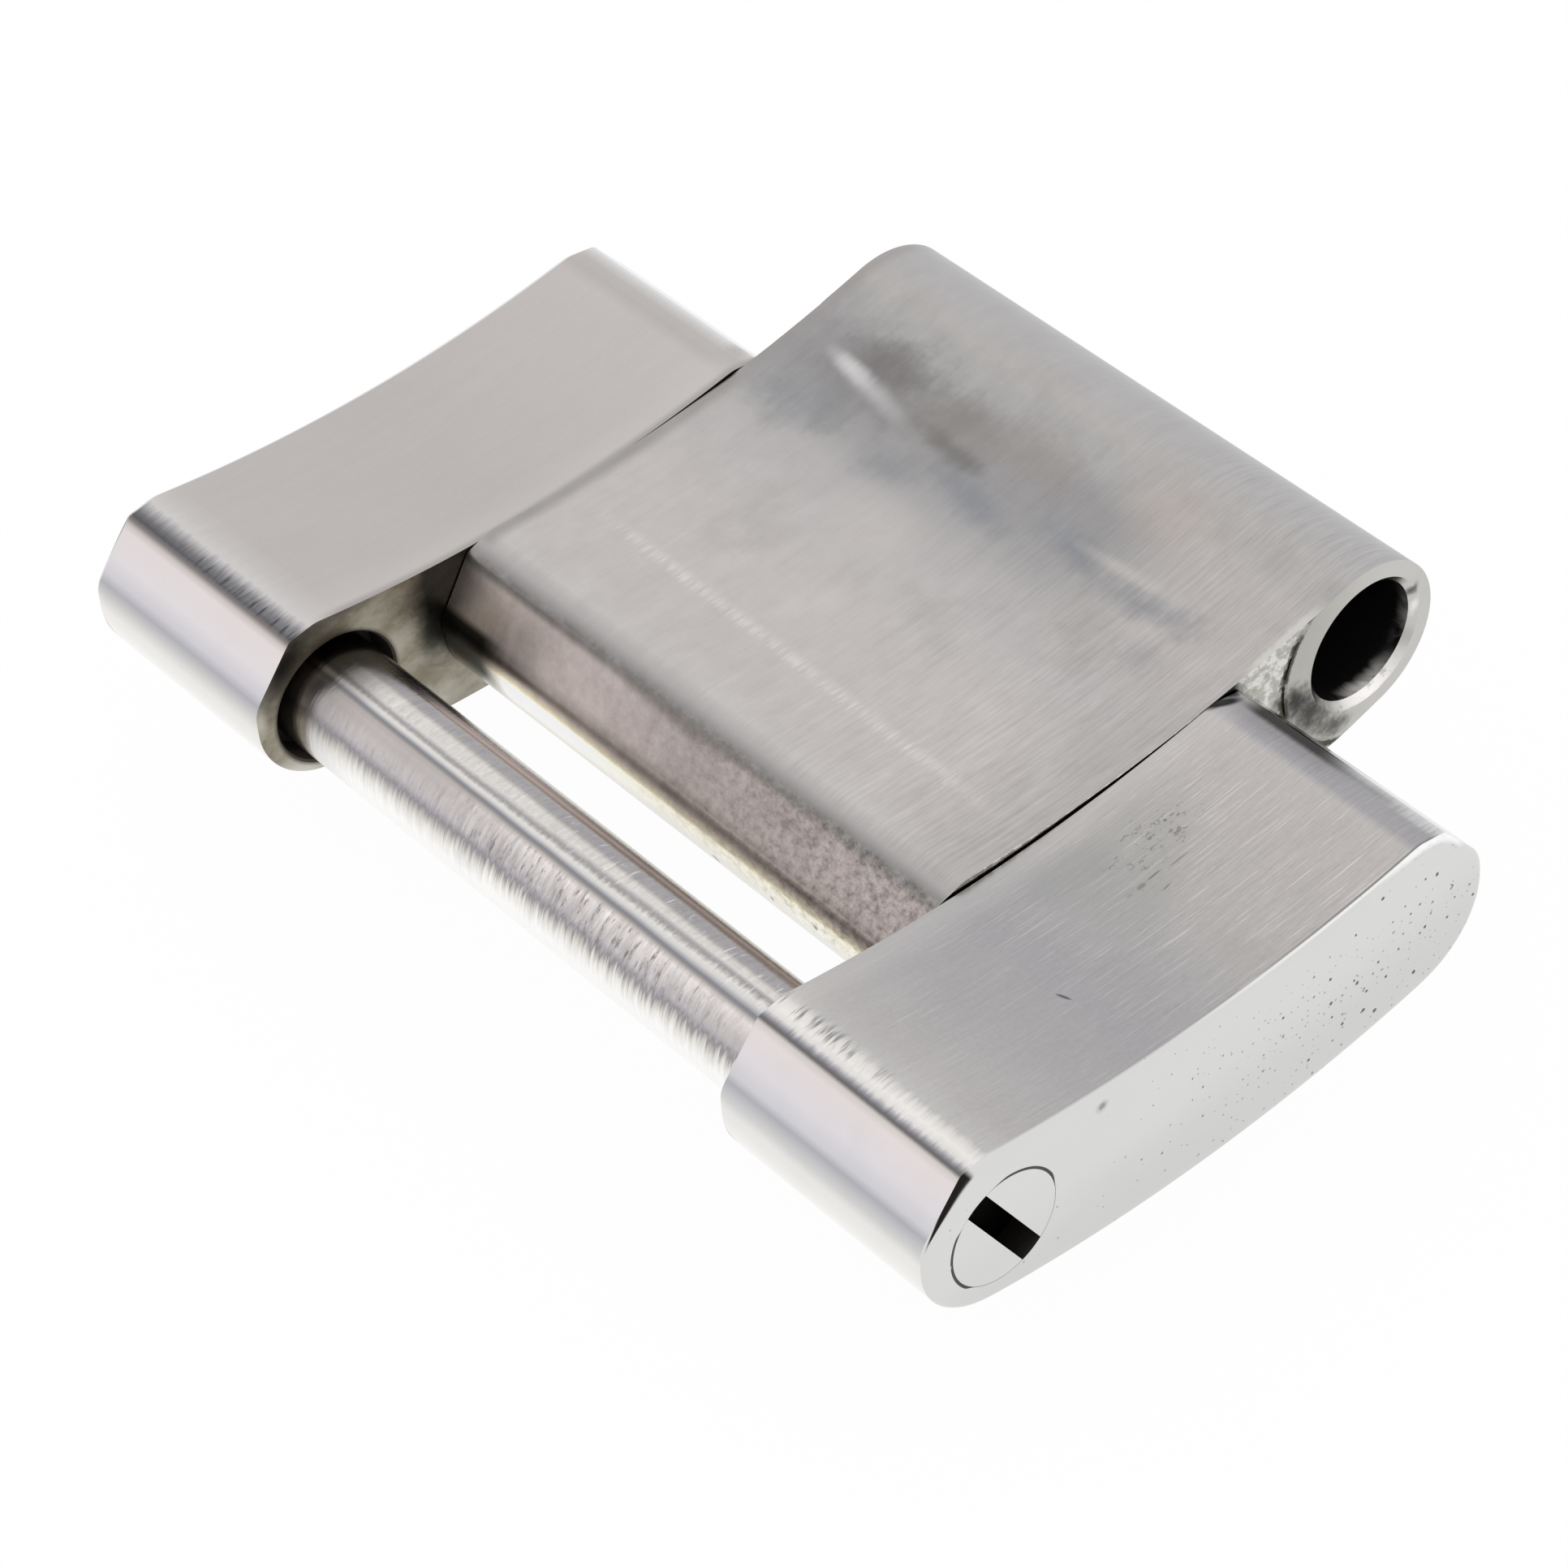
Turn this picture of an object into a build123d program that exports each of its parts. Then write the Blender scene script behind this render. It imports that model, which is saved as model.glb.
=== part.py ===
from build123d import *
from math import asin, cos, radians, sin, sqrt, tan
import os

# One link of a three-row steel watch bracelet, lying with its wrist side up.
# X runs along the bracelet, Y along the screw and the pin, and +Z is the wrist side.
# The origin is on the screw's axis, at the middle of the bracelet's width.

# across the bracelet
bracelet_width = 16.0
cheek_gap = 9.00            # between the inner faces of the two outer links
side_play = 0.05            # centre link's running gap to each outer link

# along the bracelet
link_gap = 0.365            # between neighbouring outer links in a straight bracelet
screw_setback = 1.25        # from an outer link's near end to the screw
pin_setback = 3.01          # from the centre link's near end to the pin
centre_tilt = 6.8           # degrees, the centre link's far end lifted on its pin

# the outline that every link end shares, measured from the link's middle
half_length = 4.575
centre_reach = 0.24         # how much further the centre link's near end stands out
waist_height = 1.09         # hollow wrist face above the axes, at the middle
hollow_radius = 20.6
belly_depth = 1.366         # outer face below the axes, at the middle
belly_radius = 19.6
crease_setback = 0.655      # from the link's end back to the crease
shoulder_width = 0.43       # rounded band between the hollow and the crease
shoulder_drop = 0.072
crease_radius = 0.12
facet_angle = 50.7          # degrees, how steeply the flat end facet falls
flank_radius = 0.40         # under the facet of a near end
far_flank_radius = 0.75
toe_radius = 1.20           # large rounding under the end
side_bevel = 0.08           # on the outer links' side faces
inner_bevel = 0.03

# the centre link's far end
bore_radius = 0.87
bore_lift = 0.07            # bore above the plane of the pin
bore_lip = 0.05
ring_wall = 0.32
ring_lead = 0.24            # where the hollow face ends, before the bore's axis
crown_angle = 45.0          # degrees past the top, where the ring takes over from the shoulder
foot_angle = 6.7            # degrees past the bottom, where the belly meets the ring
land_radius = 1.43          # raised land round the bore on each side face
land_height = 0.04

# the screw
screw_radius = 0.80
screw_clearance = 0.035
slot_width = 0.32
slot_depth = 0.45
slot_angle = 59.2           # degrees, how far the slot is turned from the bracelet's length
counterbore_radius = 0.94
counterbore_depth = 0.50
shoulder_radius = 0.14      # rounding where the shank ends
tip_radius = 0.55           # thread's outside
tip_length = 1.90
tip_clearance = 0.03
tip_bevel = 0.12
hole_runout = 0.30          # tapped hole beyond the screw's tip

# the pin
pin_radius = 0.60
pin_clearance = 0.03
pin_seat = 2.60             # depth of the pin in each outer link
pin_bevel = 0.10

overrun = 1.0               # how far cutting solids pass the faces they cut

hole_spacing = half_length + link_gap / 2       # screw to pin, and pin to bore: half a pitch each
screw_to_middle = half_length - screw_setback   # to the middle of an outer link
centre_half_length = half_length + centre_reach
pin_to_middle = centre_half_length - pin_setback    # to the middle of the centre link


def hollow_height(x):
    """Height of the hollow wrist face, x from the link's middle."""
    return waist_height + hollow_radius - sqrt(hollow_radius**2 - x**2)


def direction(slope):
    """Unit vector that rises by a slope in radians."""
    return (cos(slope), sin(slope))


def crease_and_corner(length):
    """The two sharp points of an end: the crease over the facet, and the facet's lower edge."""
    shoulder = length - crease_setback - shoulder_width
    height = hollow_height(shoulder) - shoulder_drop
    crease = Vector(length - crease_setback, height)
    corner = Vector(length, height - crease_setback * tan(radians(facet_angle)))
    return crease, corner


def faceted_half(length):
    """Outline from the middle of the wrist face, over the faceted end, to the middle of the belly."""
    crease, corner = crease_and_corner(length)
    shoulder = crease.X - shoulder_width
    top = Vector(shoulder, hollow_height(shoulder))
    reach = length - toe_radius
    inner_radius = belly_radius - toe_radius
    toe_height = belly_radius - belly_depth - sqrt(inner_radius**2 - reach**2)
    along = reach / inner_radius
    foot = Vector(reach + toe_radius * along, toe_height - toe_radius * sqrt(1 - along**2))
    side = Vector(length, toe_height)
    return Curve() + [
        TangentArc((0, waist_height), top, tangent=direction(0)),
        TangentArc(top, crease, tangent=direction(asin(shoulder / hollow_radius))),
        Line(crease, corner),
        Line(corner, side),
        TangentArc(side, foot, tangent=(0, -1)),
        TangentArc((0, -belly_depth), foot, tangent=direction(0)),
    ]


def ringed_half():
    """Outline from the middle of the wrist face, round the bore, to the middle of the belly."""
    bore = Vector(hole_spacing - pin_to_middle, bore_lift)
    ring_radius = bore_radius + ring_wall
    lead = bore.X - ring_lead
    top = Vector(lead, hollow_height(lead))
    crown_turn = radians(crown_angle)
    foot_turn = radians(foot_angle)
    crown = bore + Vector(sin(crown_turn), cos(crown_turn)) * ring_radius
    foot = bore + Vector(sin(foot_turn), -cos(foot_turn)) * ring_radius
    return Curve() + [
        TangentArc((0, waist_height), top, tangent=direction(0)),
        TangentArc(top, crown, tangent=direction(asin(lead / hollow_radius))),
        ThreePointArc(crown, bore + Vector(ring_radius, 0), foot),
        TangentArc((0, -belly_depth), foot, tangent=direction(0)),
    ]


def softened(outline, points, radius):
    """Outline with the corners at these points rounded."""
    for point in points:
        vertex = outline.vertices().sort_by_distance(point)[0]
        outline = fillet(vertex, radius)
    return outline


def outer_outline():
    """Closed outline of an outer link, rounder under the far facet than under the near one."""
    half = faceted_half(half_length)
    outline = make_face((half + mirror(half, about=Plane.YZ)).edges())
    crease, corner = crease_and_corner(half_length)
    mirrored = [Vector(-point.X, point.Y) for point in (crease, corner)]
    outline = softened(outline, [crease, mirrored[0]], crease_radius)
    outline = softened(outline, [corner], far_flank_radius)
    return softened(outline, [mirrored[1]], flank_radius)


def centre_outline():
    """Closed outline of the centre link, faceted at the near end and ringed at the far end."""
    near_half = mirror(faceted_half(centre_half_length), about=Plane.YZ)
    outline = make_face((ringed_half() + near_half).edges())
    crease, corner = crease_and_corner(centre_half_length)
    outline = softened(outline, [Vector(-crease.X, crease.Y)], crease_radius)
    return softened(outline, [Vector(-corner.X, corner.Y)], flank_radius)


def across(outline, low, high):
    """An outline in X and Z carried across the bracelet, from low to high in Y."""
    return Pos(0, high, 0) * extrude(Plane.XZ * outline, high - low)


def rod(radius, low, high):
    """Round solid on the Y axis, from low to high."""
    return across(Circle(radius), low, high)


def outer_blank():
    """Front outer link without its holes: the outward edges bevelled, the inward ones just broken."""
    blank = across(outer_outline(), -bracelet_width / 2, -cheek_gap / 2)
    blank = chamfer(blank.faces().sort_by(Axis.Y)[0].edges(), side_bevel)
    blank = chamfer(blank.faces().sort_by(Axis.Y)[-1].edges(), inner_bevel)
    return Pos(screw_to_middle, 0, 0) * blank


def pin_hole():
    """Room for the pin, the same length as the pin, so that its ends meet the holes' floors."""
    depth = cheek_gap / 2 + pin_seat
    return Pos(hole_spacing, 0, 0) * rod(pin_radius, -depth, depth)


def front_outer_link():
    screw_bore = rod(screw_radius + screw_clearance, -bracelet_width / 2 - overrun, 0)
    return outer_blank() - screw_bore - pin_hole()


def rear_outer_link():
    inner = cheek_gap / 2
    blank = mirror(outer_blank(), about=Plane.XZ)
    counterbore = rod(counterbore_radius, inner - overrun, inner + counterbore_depth)
    hole_end = inner + counterbore_depth + tip_length + hole_runout
    tapped_hole = rod(tip_radius + tip_clearance, inner, hole_end)
    return blank - counterbore - tapped_hole - pin_hole()


def centre_link():
    half_width = cheek_gap / 2 - side_play
    side = half_width - land_height
    outline = centre_outline()
    body = across(outline, -side, side)
    body = chamfer(body.faces().sort_by(Axis.Y)[0].edges(), inner_bevel)
    body = chamfer(body.faces().sort_by(Axis.Y)[-1].edges(), inner_bevel)
    bore_place = Pos(hole_spacing - pin_to_middle, 0, bore_lift)
    land = across(outline, -half_width, half_width) & bore_place * rod(land_radius, -half_width, half_width)
    bore = rod(bore_radius, -half_width - overrun, half_width + overrun)
    lip = Cone(bore_radius + bore_lip, bore_radius, bore_lip, align=(Align.CENTER, Align.CENTER, Align.MIN))
    front_lip = Pos(0, -half_width, 0) * Rot(X=-90) * lip
    back_lip = Pos(0, half_width, 0) * Rot(X=90) * lip
    link = body + land - bore_place * (bore + front_lip + back_lip)
    link = Pos(pin_to_middle, 0, 0) * link
    link -= rod(pin_radius + pin_clearance, -half_width - overrun, half_width + overrun)
    return Pos(hole_spacing, 0, 0) * Rot(Y=-centre_tilt) * link


def link_screw():
    head = -bracelet_width / 2
    seat = cheek_gap / 2 + counterbore_depth
    shank = rod(screw_radius, head, seat)
    shank = fillet(shank.edges().sort_by(Axis.Y)[-1], shoulder_radius)
    shank = chamfer(shank.edges().sort_by(Axis.Y)[0], inner_bevel)
    tip = rod(tip_radius, seat, seat + tip_length)
    tip = chamfer(tip.edges().sort_by(Axis.Y)[-1], tip_bevel)
    slot = Box(2 * (screw_radius + overrun), 2 * slot_depth, slot_width)
    return shank + tip - Pos(0, head, 0) * Rot(Y=slot_angle) * slot


def hinge_pin():
    depth = cheek_gap / 2 + pin_seat
    pin = rod(pin_radius, -depth, depth)
    ends = pin.edges().filter_by(GeomType.CIRCLE)
    return Pos(hole_spacing, 0, 0) * chamfer(ends, pin_bevel)


pieces = {
    "front_outer_link": front_outer_link,
    "rear_outer_link": rear_outer_link,
    "centre_link": centre_link,
    "link_screw": link_screw,
    "hinge_pin": hinge_pin,
}

os.makedirs("parts", exist_ok=True)
for name, make in pieces.items():
    solid = make()
    export_step(solid, f"parts/{name}.step")
    box = solid.bounding_box()
    print(name, f"{solid.volume:.3f} mm3", [round(v, 3) for v in (*box.min, *box.max)])
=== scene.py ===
import math

import bpy
import numpy as np
from mathutils import Matrix, Vector


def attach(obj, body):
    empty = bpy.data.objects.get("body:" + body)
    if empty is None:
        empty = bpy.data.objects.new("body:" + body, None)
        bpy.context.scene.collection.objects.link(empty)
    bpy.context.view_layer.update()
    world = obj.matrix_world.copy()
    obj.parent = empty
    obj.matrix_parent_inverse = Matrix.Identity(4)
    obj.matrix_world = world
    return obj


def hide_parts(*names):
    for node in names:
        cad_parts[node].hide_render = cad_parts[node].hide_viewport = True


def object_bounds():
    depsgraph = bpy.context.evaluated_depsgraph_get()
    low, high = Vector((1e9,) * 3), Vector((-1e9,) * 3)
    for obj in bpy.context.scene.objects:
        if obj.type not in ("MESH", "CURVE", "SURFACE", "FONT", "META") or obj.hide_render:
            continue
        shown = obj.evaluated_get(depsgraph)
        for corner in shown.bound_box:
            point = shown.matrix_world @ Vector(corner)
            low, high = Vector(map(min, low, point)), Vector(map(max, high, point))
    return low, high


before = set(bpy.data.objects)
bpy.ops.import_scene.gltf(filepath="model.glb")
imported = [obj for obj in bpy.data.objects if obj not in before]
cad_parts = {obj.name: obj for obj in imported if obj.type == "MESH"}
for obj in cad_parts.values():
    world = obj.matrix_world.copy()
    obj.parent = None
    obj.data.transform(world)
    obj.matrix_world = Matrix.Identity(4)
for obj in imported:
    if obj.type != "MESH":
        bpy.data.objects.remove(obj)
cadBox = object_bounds()
mm = 0.001              # sizes below are in millimetres, Blender works in metres

# Camera: where it stands and how it is turned, found from the link's edges in the photograph
view = {
    "place": (-26.189, -37.850, 45.682),
    "azimuth": -38.2004,
    "elevation": 44.0505,
    "roll": -4.4594,
    "focalPixels": 6489.3,
    "framePixels": 1932,
}


def addCamera():
    turn, rise, roll = (math.radians(view[k]) for k in ("azimuth", "elevation", "roll"))
    back = Vector((math.sin(turn) * math.cos(rise), -math.cos(turn) * math.cos(rise), math.sin(rise)))
    level = Vector((math.cos(turn), math.sin(turn), 0))
    right = math.cos(roll) * level + math.sin(roll) * back.cross(level)
    axes = Matrix((right, back.cross(right), back)).transposed()
    data = bpy.data.cameras.new("camera")
    data.sensor_width = 36
    data.lens = view["focalPixels"] / view["framePixels"] * data.sensor_width
    data.clip_start, data.clip_end = 0.002, 5
    camera = bpy.data.objects.new("camera", data)
    camera.matrix_world = Matrix.Translation(Vector(view["place"]) * mm) @ axes.to_4x4()
    bpy.context.scene.collection.objects.link(camera)
    bpy.context.scene.camera = camera


addCamera()
print("camera set")

# The outline that every link end shares, from the link's middle
link = {
    "halfLength": 4.575,
    "centreReach": 0.24,
    "waist": 1.09,
    "hollowRadius": 20.6,
    "bellyDepth": 1.3615,
    "bellyRadius": 19.6,
    "creaseSetback": 0.655,
    "shoulderWidth": 0.43,
    "shoulderDrop": 0.072,
    "creaseRadius": 0.12,
    "facetAngle": 50.7,
    "flankRadius": 0.40,
    "farFlankRadius": 0.75,
    "toeRadius": 1.20,
    "shoulderBlend": 0.07,
}


# points on the circle that leaves start along heading (radians) and reaches end, evenly spaced
def arcFrom(start, heading, end, count):
    start, chord = np.asarray(start, float), np.subtract(end, start)
    along = np.array([math.cos(heading), math.sin(heading)])
    across = np.array([-along[1], along[0]])
    turn = 2 * math.atan2(chord @ across, chord @ along)
    radius = (chord @ chord) / (2 * (chord @ across))
    angle = np.linspace(0, turn, count)[:, None]
    return start + radius * (np.sin(angle) * along + (1 - np.cos(angle)) * across)


# parabola from a to b whose two ends point at the corner, so it meets both sides smoothly
def roundCorner(a, corner, b, count):
    t = np.linspace(0, 1, count)[:, None]
    return (1 - t) ** 2 * np.asarray(a) + 2 * t * (1 - t) * np.asarray(corner) + t**2 * np.asarray(b)


def hollowHeight(x):
    return link["waist"] + link["hollowRadius"] - math.sqrt(link["hollowRadius"] ** 2 - x * x)


# half outline from the middle of the wrist face, over crease, facet and toe, to the middle of the belly
def facetedHalf(end, flankRadius):
    facet = math.radians(link["facetAngle"])
    creaseX = end - link["creaseSetback"]
    shoulderX = creaseX - link["shoulderWidth"]
    shoulder = np.array([shoulderX, hollowHeight(shoulderX)])
    crease = np.array([creaseX, shoulder[1] - link["shoulderDrop"]])
    corner = np.array([end, crease[1] - link["creaseSetback"] * math.tan(facet)])
    down = np.array([math.cos(facet), -math.sin(facet)])
    reach = end - link["toeRadius"]
    bellyInner = link["bellyRadius"] - link["toeRadius"]
    toeHeight = link["bellyRadius"] - link["bellyDepth"] - math.sqrt(bellyInner**2 - reach**2)
    slope = reach / bellyInner
    foot = np.array([reach + link["toeRadius"] * slope,
                     toeHeight - link["toeRadius"] * math.sqrt(1 - slope**2)])
    cut = link["creaseRadius"] * math.tan(facet / 2 - 0.1)
    bandWay = (crease - shoulder) / np.linalg.norm(crease - shoulder)
    bandStart, before = shoulder + bandWay * link["shoulderBlend"], crease - bandWay * cut
    hollow = arcFrom((0, link["waist"]), 0, shoulder, 90)
    hollow = hollow[np.linalg.norm(hollow - shoulder, axis=1) > link["shoulderBlend"]]
    flankCut = flankRadius * math.tan((math.pi / 2 - facet) / 2)
    after, low = crease + down * cut, corner - down * flankCut
    flank = corner - np.array([0, flankCut])
    side = np.array([end, toeHeight])
    return np.concatenate([
        hollow[:-1],
        roundCorner(hollow[-1], shoulder, bandStart, 8),
        np.linspace(bandStart, before, 12)[1:-1],
        roundCorner(before, crease, after, 9),
        np.linspace(after, low, 14)[1:-1],
        roundCorner(low, corner, flank, 14),
        np.linspace(flank, side, 4)[1:-1],
        arcFrom(side, -math.pi / 2, foot, 34),
        arcFrom((0, -link["bellyDepth"]), 0, foot, 56)[-2::-1],
    ])


# The centre link: its outline's far end is a ring round the bore
centre = {
    "pinX": 4.7575,
    "holeSpacing": 4.7575,
    "pinToMiddle": 1.805,
    "tilt": 6.8,
    "boreRadius": 0.87,
    "boreLift": 0.07,
    "boreLip": 0.09,
    "ringRadius": 1.1892,
    "ringLead": 0.24,
    "crownAngle": 45.0,
    "footAngle": 6.7,
    "landRadius": 1.43,
    "landHeight": 0.008,
    "frontWidth": 4.491,
    "frontPinch": 0.02,
    "frontEdge": 0.01,
    "rearWidth": 4.4835,
    "rearPinch": 0.007,
    "rearEdge": 0.005,
    "landBlend": 0.06,
    "landStep": 0.012,
    "closerFrom": 1.2,                  # from this x the sides come closer, in full this far on
    "closerOver": 3,
    "rows": 60,
    "wallReach": 3.6,
}
centreBore = np.array([centre["holeSpacing"] - centre["pinToMiddle"], centre["boreLift"]])


# half outline from the middle of the wrist face, round the bore, to the middle of the belly
def ringedHalf():
    lead = centreBore[0] - centre["ringLead"]
    top = np.array([lead, hollowHeight(lead)])
    first = math.pi / 2 - math.radians(centre["crownAngle"])
    last = math.radians(centre["footAngle"]) - math.pi / 2
    angle = np.linspace(first, last, 90)[:, None]
    arc = centreBore + centre["ringRadius"] * np.hstack([np.cos(angle), np.sin(angle)])
    return np.concatenate([
        arcFrom((0, link["waist"]), 0, top, 40)[:-1],
        arcFrom(top, math.asin(lead / link["hollowRadius"]), arc[0], 24)[:-1],
        arc,
        arcFrom((0, -link["bellyDepth"]), 0, arc[-1], 36)[-2::-1],
    ])


# inward unit normal at each point of a closed outline, from its two neighbours
def inwardOf(points):
    tangent = np.roll(points, -1, axis=0) - np.roll(points, 1, axis=0)
    tangent /= np.linalg.norm(tangent, axis=1)[:, None]
    return np.stack([tangent[:, 1], -tangent[:, 0]], axis=1)


# closed outline from the belly's middle round the near end, the wrist face and the far end,
# with each point's distance along it from the middle of the wrist face, and its inward normal
def closedOutline(nearHalf, farHalf):
    points = np.concatenate([nearHalf[::-1] * [-1, 1], farHalf[1:-1]])
    step = np.linalg.norm(np.diff(points, axis=0), axis=1)
    travel = np.concatenate([[0], np.cumsum(step)])
    return points, travel - travel[len(nearHalf) - 1], inwardOf(points)


# a ring's four columns: x, y, z, and the distance travelled across the skin, which is y plus any inset
def ring(flat, y, across):
    y, across = (np.broadcast_to(value, len(flat)) for value in (y, across))
    return np.stack([flat[:, 0], y, flat[:, 1], across], axis=1)


# a ring of points at depth y: the outline moved inwards by inset
def outlineRing(outline, inset, y):
    return ring(outline[0] + outline[2] * inset, y, y + np.sign(y) * inset)


# the outline smoothed over a width: each point becomes the mean of its neighbours, weighted by a bell
def smoothed(outline, width):
    points, travel = outline[:2]
    half = 2000
    loop = np.concatenate([points, points[:1]])
    reach = np.concatenate([travel, [travel[-1] + np.linalg.norm(points[0] - points[-1])]])
    even = np.linspace(reach[0], reach[-1], 2 * half + 1)[:-1]
    bell = np.exp(-0.5 * ((even - even[half]) / width) ** 2)
    spectrum = np.fft.fft(np.roll(bell / bell.sum(), -half))
    mean = [np.fft.ifft(np.fft.fft(np.interp(even, reach, column)) * spectrum).real for column in loop.T]
    flat = np.stack([np.interp(travel, even, column, period=reach[-1] - reach[0]) for column in mean], axis=1)
    return flat, travel, inwardOf(flat)


# a ring of points at depth y on a circle, each in the direction of the outline's own point;
# across lies a millimetre past y, clear of the edges' marks
def circleRing(outline, hole, radius, y):
    ray = outline[0] - hole
    ray /= np.linalg.norm(ray, axis=1)[:, None]
    return ring(hole + ray * np.broadcast_to(radius, len(ray))[:, None], y, y + np.sign(y))


# rings over a bevel: a chamfer of this size whose two corners are softened by a superellipse;
# its inner edge follows the smoothed outline, so the bevel is wider where the outline turns sharply
def bevelRings(outline, size, face, inwards, count=7, power=1.45, soft=0.0):
    turn = np.linspace(0, math.pi / 2, count)
    inset = 1 - np.sin(turn) ** (2 / power)
    back = size * (1 - np.cos(turn) ** (2 / power))
    inner = smoothed(outline, soft) if soft else outline
    goal = inner[0] + inner[2] * size
    return [ring(outline[0] + (goal - outline[0]) * i, face + inwards * b, face + inwards * (b - size * i))
            for i, b in zip(inset, back)]


# x and z turned by an angle in degrees: x takes x cos - z sin, z takes x sin + z cos
def swing(x, z, angle):
    cosine, sine = math.cos(math.radians(angle)), math.sin(math.radians(angle))
    return x * cosine - z * sine, x * sine + z * cosine


# mesh of quads between rings of points that all have the same count, around and along the piece;
# an end is left open, closed by a fan to a pole, or folded shut by welding its points to their twins
def meshFromRings(name, rings, finish, travel, firstPole=None, lastPole=None, twin=None, closed=True,
                  tilt=0.0, shift=(0, 0, 0), sharp=24):
    rings = np.asarray(rings, float)
    ringCount, around = rings.shape[:2]
    vertices, across = rings.reshape(-1, 4)[:, [0, 1, 2]], rings.reshape(-1, 4)[:, 3]
    rows = ringCount if closed else ringCount - 1
    k, i = np.meshgrid(np.arange(rows), np.arange(around), indexing="ij")
    k2, i2 = (k + 1) % ringCount, (i + 1) % around
    quads = np.stack([k * around + i, k * around + i2, k2 * around + i2, k2 * around + i], axis=-1)
    quads = quads.reshape(-1, 4)
    lineNext = np.append(travel[1:], 2 * travel[-1] - travel[-2])
    u = np.stack([travel[i], lineNext[i], lineNext[i], travel[i]], axis=-1).reshape(-1, 4)
    v = across[quads]
    finish = np.asarray(finish)[:rows]
    slots = (np.repeat(finish, around) if finish.ndim == 1 else finish.reshape(-1))
    if twin is not None:
        first = quads < around
        quads = np.where(first, np.minimum(quads, twin[np.where(first, quads, 0)]), quads)
    corners, sizes = [quads.reshape(-1)], [np.full(len(quads), 4)]
    slots, us, vs = [slots], [u.reshape(-1)], [v.reshape(-1)]
    for pole, base, turned in ((firstPole, 0, True), (lastPole, (ringCount - 1) * around, False)):
        if pole is None:
            continue
        vertices = np.concatenate([vertices, [pole]])
        top, n = len(vertices) - 1, np.arange(around)
        a, b = base + n, base + (n + 1) % around
        ends = [travel, lineNext]
        fan = np.stack([np.full(around, top), *((b, a) if turned else (a, b))], axis=1)
        corners.append(fan.reshape(-1))
        sizes.append(np.full(around, 3))
        slots.append(np.full(around, slots[0][0 if turned else -1]))
        us.append(np.stack([ends[0], *(ends[::-1] if turned else ends)], axis=1).reshape(-1))
        vs.append(np.repeat(across[base], 3 * around))
    corners, sizes, slots, us, vs = (np.concatenate(part) for part in (corners, sizes, slots, us, vs))
    a, b, c, d = (vertices[quads[:, n]] for n in range(4))
    if np.einsum("ij,ij->", a, np.cross(b, c) + np.cross(c, d)) < 0:
        starts = np.concatenate([[0], np.cumsum(sizes)[:-1]])
        order = np.repeat(starts + sizes - 1, sizes) - (np.arange(len(corners)) - np.repeat(starts, sizes))
        corners, us, vs = corners[order], us[order], vs[order]
    x, y, z = vertices.T
    x, z = swing(x, z, tilt)
    placed = np.stack([x, y, z], axis=1) + np.asarray(shift)
    mesh = bpy.data.meshes.new(name)
    mesh.vertices.add(len(placed))
    mesh.vertices.foreach_set("co", (placed * mm).ravel())
    mesh.loops.add(len(corners))
    mesh.loops.foreach_set("vertex_index", corners.astype(np.int32))
    mesh.polygons.add(len(sizes))
    mesh.polygons.foreach_set("loop_start", np.concatenate([[0], np.cumsum(sizes)[:-1]]).astype(np.int32))
    mesh.polygons.foreach_set("material_index", slots.astype(np.int32))
    mesh.update(calc_edges=True)
    layer = mesh.uv_layers.new(name="travel")
    layer.uv.foreach_set("vector", np.stack([us, vs], axis=1).astype(np.float32).ravel())
    mesh.validate()
    mesh.shade_smooth()
    mesh.set_sharp_from_angle(angle=math.radians(sharp))
    piece = bpy.data.objects.new(name, mesh)
    bpy.context.scene.collection.objects.link(piece)
    return piece


# The outer links: the same outline at both ends, the screw's hole near the near end
outer = {
    "screwSetback": 1.25,
    "outside": 8.0,
    "frontInside": 4.495,
    "rearInside": 4.485,
    "sideBevel": 0.045,
    "bevelSoft": 0.2,
    "rearBevel": 0.12,
    "innerBevel": 0.009,
    "rearInnerBevel": 0.005,
    "innerSoft": 0.06,
    "boreRadius": 0.835,
    "mouthRadius": 0.8012,              # the screw's head fills the hole's mouth
    "counterbore": 0.94,
    "counterboreDepth": 0.50,
    "tapRadius": 0.58,
    "tapDepth": 2.20,
    "holeLip": 0.03,
    "mouthDepth": 0.3,                  # the hole widens again between these two depths
    "mouthStep": 0.4,
    "frontInset": 0.15,                 # flat ring on the side face, in from the bevel
    "rearInset": 0.2,
    "poleRing": 0.5,
    "rows": 24,
}
satinSkin, sideFace, cheek, holeWall = 0, 1, 2, 3       # material slots of a link
middleX = link["halfLength"] - outer["screwSetback"]
screwHole = np.array([-middleX, 0])


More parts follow.
